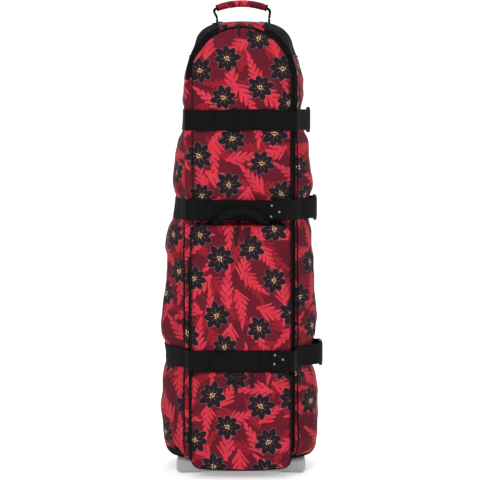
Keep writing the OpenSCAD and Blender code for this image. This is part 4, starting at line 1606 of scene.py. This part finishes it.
def buildSliders():
    mainPin = doorFront - 2 - slide["clear"] - slide["pinToBack"]
    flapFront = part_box("pocket_1_flap")[0].y * 1000
    flapPin = flapFront - slide["clear"] - slide["pinToBack"]
    spots = []
    for label, angle, length in (("left", -3.2, 42), ("right", 9.6, 34)):
        turn = Matrix.Rotation(math.radians(angle), 4, "Y")
        onRim = Matrix.Translation(Vector((0, 0, rimR - 8)) * mm)
        place = Matrix.Translation(Vector((0, mainPin, archZ)) * mm) @ turn @ onRim
        spots.append(("main", label, place, length, 15))
    for p, rightX in ((1, 20), (2, 30)):
        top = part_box("pocket_%d_gusset" % p)[1].z
        for label, x, length in (("left", -14, 46), ("right", rightX, 34)):
            place = Matrix.Translation(Vector((x, flapPin, top * 1000 - 10)) * mm)
            spots.append(("pocket_%d" % p, label, place, length, 0))
    for group, label, place, length, tilt in spots:
        body = group + "_slider_" + label
        piece = sliderShape(body + "_body")
        placeMesh(piece, place)
        finishPiece(piece, body, "black_zinc", zincBlack, replaces=(body,))
        body = group + "_pull_" + label
        piece = pullShape(body + "_grip", length)
        placeMesh(piece, place @ Matrix.Rotation(math.radians(-tilt), 4, "X"))
        finishPiece(piece, body, "black_rubber", gripRubber, replaces=(body,))


# moulded base, feet, housings, wheels and rails
def buildBase():
    low, high = boxOf("base_tray")
    tray = moulded("tray", low, high, 9.0, 5)
    cavity = moulded("cavity", (low[0] + 5, low[1] + 5, low[2] - 30),
                     (high[0] - 5, high[1] - 5, high[2] - 6), 4.0, 3)
    bays = [moulded("bay", (s * 180 - 72, 84, -20), (s * 180 + 72, 200, 80), 4.0, 3) for s in (-1, 1)]
    cutAway(tray, [cavity] + bays)
    ribs = [moulded("trayRib", (x - 1.6, low[1] + 4, low[2] + 6), (x + 1.6, high[1] - 4, high[2] - 4), 0.8, 2)
            for x in (-75, -25, 25, 75)]
    lip = moulded("trayLip", (low[0] + 12, low[1] - 1.6, high[2] - 9),
                  (high[0] - 12, low[1] + 2, high[2] - 4), 1.2, 3)
    base = joinPieces("baseTray", [tray] + ribs + [lip])
    finishPiece(base, "case", "grey_plastic", plasticGrey, replaces=("base_tray",))
    low, high = boxOf("front_feet")
    feet = []
    for s in (-1, 1):
        x0, x1 = sorted((s * 112, s * high[0]))
        foot = moulded("foot", (x0, low[1], low[2]), (x1, high[1], high[2]), 7.0, 5)
        grooves = [moulded("groove", (x0 - 5, low[1] - 4, z), (x1 + 5, low[1] + 1.6, z + 2.6), 0.8, 2)
                   for z in (6, 13, 20)]
        cutAway(foot, grooves)
        feet.append(foot)
    finishPiece(joinPieces("frontFeet", feet), "case", "grey_plastic", plasticGrey, replaces=("front_feet",))


def buildWheelHousings():
    for side, s in (("left", -1), ("right", 1)):
        node = "wheel_housing_" + side
        low, high = boxOf(node)
        shell = moulded("housing", low, high, 8.0, 5)
        inside = moulded("inside", (low[0] + 14, low[1] + 5, low[2] - 20),
                         (high[0] - 14, high[1] + 20, high[2] - 6), 5.0, 4)
        hole = cylinder("axleHole", (s * 150, 127, 32), 4.1, 90, "X", 0, 32)
        cutAway(shell, [inside, hole])
        x0, x1 = (low[0] - 1.2, low[0] + 3) if s < 0 else (high[0] - 3, high[0] + 1.2)
        ribs = [moulded("rib", (x0, y, low[2] + 14), (x1, y + 3, high[2] - 8), 1.0, 2)
                for y in (96, 110, 124, 138) if abs(y + 1.5 - 127) > 12]
        whole = joinPieces("housing_" + side, [shell] + ribs)
        finishPiece(whole, "case", "grey_plastic", plasticGrey, replaces=(node,))


bayCover = {"gap": 1.5, "thickness": 1.6}


def buildBayCovers():
    # lined boxes that close the inside of the case round the two wheel housings
    top = bay["topZ"] + bayCover["gap"]
    front = bay["frontY"] - bayCover["gap"]
    inner = bay["innerX"] - bayCover["gap"]
    for label, s in (("Left", -1), ("Right", 1)):
        rows = []
        lid = [(front + (backY - 4 - front) * k / 9, top) for k in range(10)]
        for y, z in [(front, 46)] + lid:
            outer = skinAt(y, z, s) - 0.9
            row = [(s * inner, y, 46)]
            row += [(s * (inner + (outer - inner) * k / 8), y, z) for k in range(9)]
            rows.append(row)
        piece = gridPiece("bayCover" + label, rows, [[(p[0], p[1] + p[2]) for p in row] for row in rows])
        thicken(piece, bayCover["thickness"], offset=0.0)
        finishPiece(piece, "case", "foam_lining", liningCloth)


def buildRails():
    low, high = boxOf("skid_rails")
    rails = []
    for s in (-1, 1):
        x0, x1 = sorted((s * 59, s * 81))
        rail = moulded("rail", (x0, low[1], low[2]), (x1, high[1] - 1.5, high[2]), 3.6, 4)
        ribs = [moulded("railRib", (x, high[1] - 3, low[2] + 26), (x + 3, high[1], high[2] - 26), 1.1, 2)
                for x in (x0 + 3, x0 + 9.2, x0 + 15.4)]
        rails.append(joinPieces("railSide", [rail] + ribs))
    whole = joinPieces("skidRails", rails)
    finishPiece(whole, "case", "black_plastic", plasticBlack, replaces=("skid_rails",))


# inside: lined back board, quilted crown pad, tie-down straps
def buildInside():
    low, high = boxOf("back_stiffener")
    rows, flatRows = [], []
    for j in range(29):
        f = j / 28
        z = low[2] + (high[2] - low[2]) * f
        wide = (halfW - 47) * (1 - f) + (sideHalf(high[2]) - 32) * f
        row = [(wide * (k / 10 - 1), high[1] - 1.5 - 0.8 * math.cos(k * math.pi), z) for k in range(21)]
        rows.append(row)
        flatRows.append(frontFlat(row))
    board = gridPiece("backBoard", rows, flatRows)
    thicken(board, 2.6, offset=0.0)
    finishPiece(board, "case", "stiffener_sheet", liningCloth, replaces=("back_stiffener",))
    low, high = boxOf("crown_pad")
    rows, flatRows = [], []
    for j in range(37):
        y = low[1] + 4 + (high[1] - low[1] - 8) * j / 36
        row, flatRow = [], []
        for k in range(37):
            a = math.radians(14 + 152 * k / 36)
            x = 104 * math.cos(a)
            z = high[2] - 46 + 38 * math.sin(a)
            quilt = 2.6 * abs(math.sin(math.pi * j / 6)) ** 0.6 * abs(math.sin(math.pi * k / 6)) ** 0.6
            row.append((x, y, z - quilt))
            flatRow.append((k * 7, j * 6))
        rows.append(row)
        flatRows.append(flatRow)
    pad = gridPiece("crownPad", rows, flatRows)
    thicken(pad, 5.0, offset=1.0)
    finishPiece(pad, "case", "foam_lining", liningCloth, replaces=("crown_pad",))
    low, high = boxOf("tie_down_strap")
    for index, z in enumerate((439, 919)):
        path = [(x, high[1] - 1.5 - 6 * math.cos(math.pi * x / 270) ** 2, z) for x in range(-130, 131, 10)]
        piece = ribbon("tieDown%d" % (index + 1), path, (0, 0, 1), 38, 1.8, 5, 1.0)
        finishPiece(piece, "case", "black_webbing", webbingBlack, replaces=("tie_down_strap",))


def finishNodes():
    # materials for the CAD nodes that keep their own shape
    looks = {"tyre": treadRubber, "hub": plasticGrey, "bearings": plated, "axle": plated,
             "rail_rivets": plated}
    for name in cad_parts:
        for key, material in looks.items():
            if name.startswith(key):
                node = bpy.data.objects.get(name)
                if node is None:
                    print("no object for", name)
                    continue
                node.data.materials.clear()
                node.data.materials.append(material)


print("case shell")
shellRows = buildShell()
buildPiping(shellRows)
print("door")
buildDoorPanel()
buildUpperPanel()
for pocketName, pocketValues in pockets.items():
    buildPocket(pocketName, pocketValues)
print("zippers and hinge")
buildZippers()
buildHinge()
print("straps")
buildStraps()
buildRivets()
buildBuckles()
print("handles")
buildGrabHandle()
buildTopHandle()
buildChapes()
buildSliders()
print("base and wheels")
buildBase()
buildWheelHousings()
buildBayCovers()
buildRails()
print("inside")
buildInside()
finishNodes()
addCamera(camera)
addLights()
addFloor()
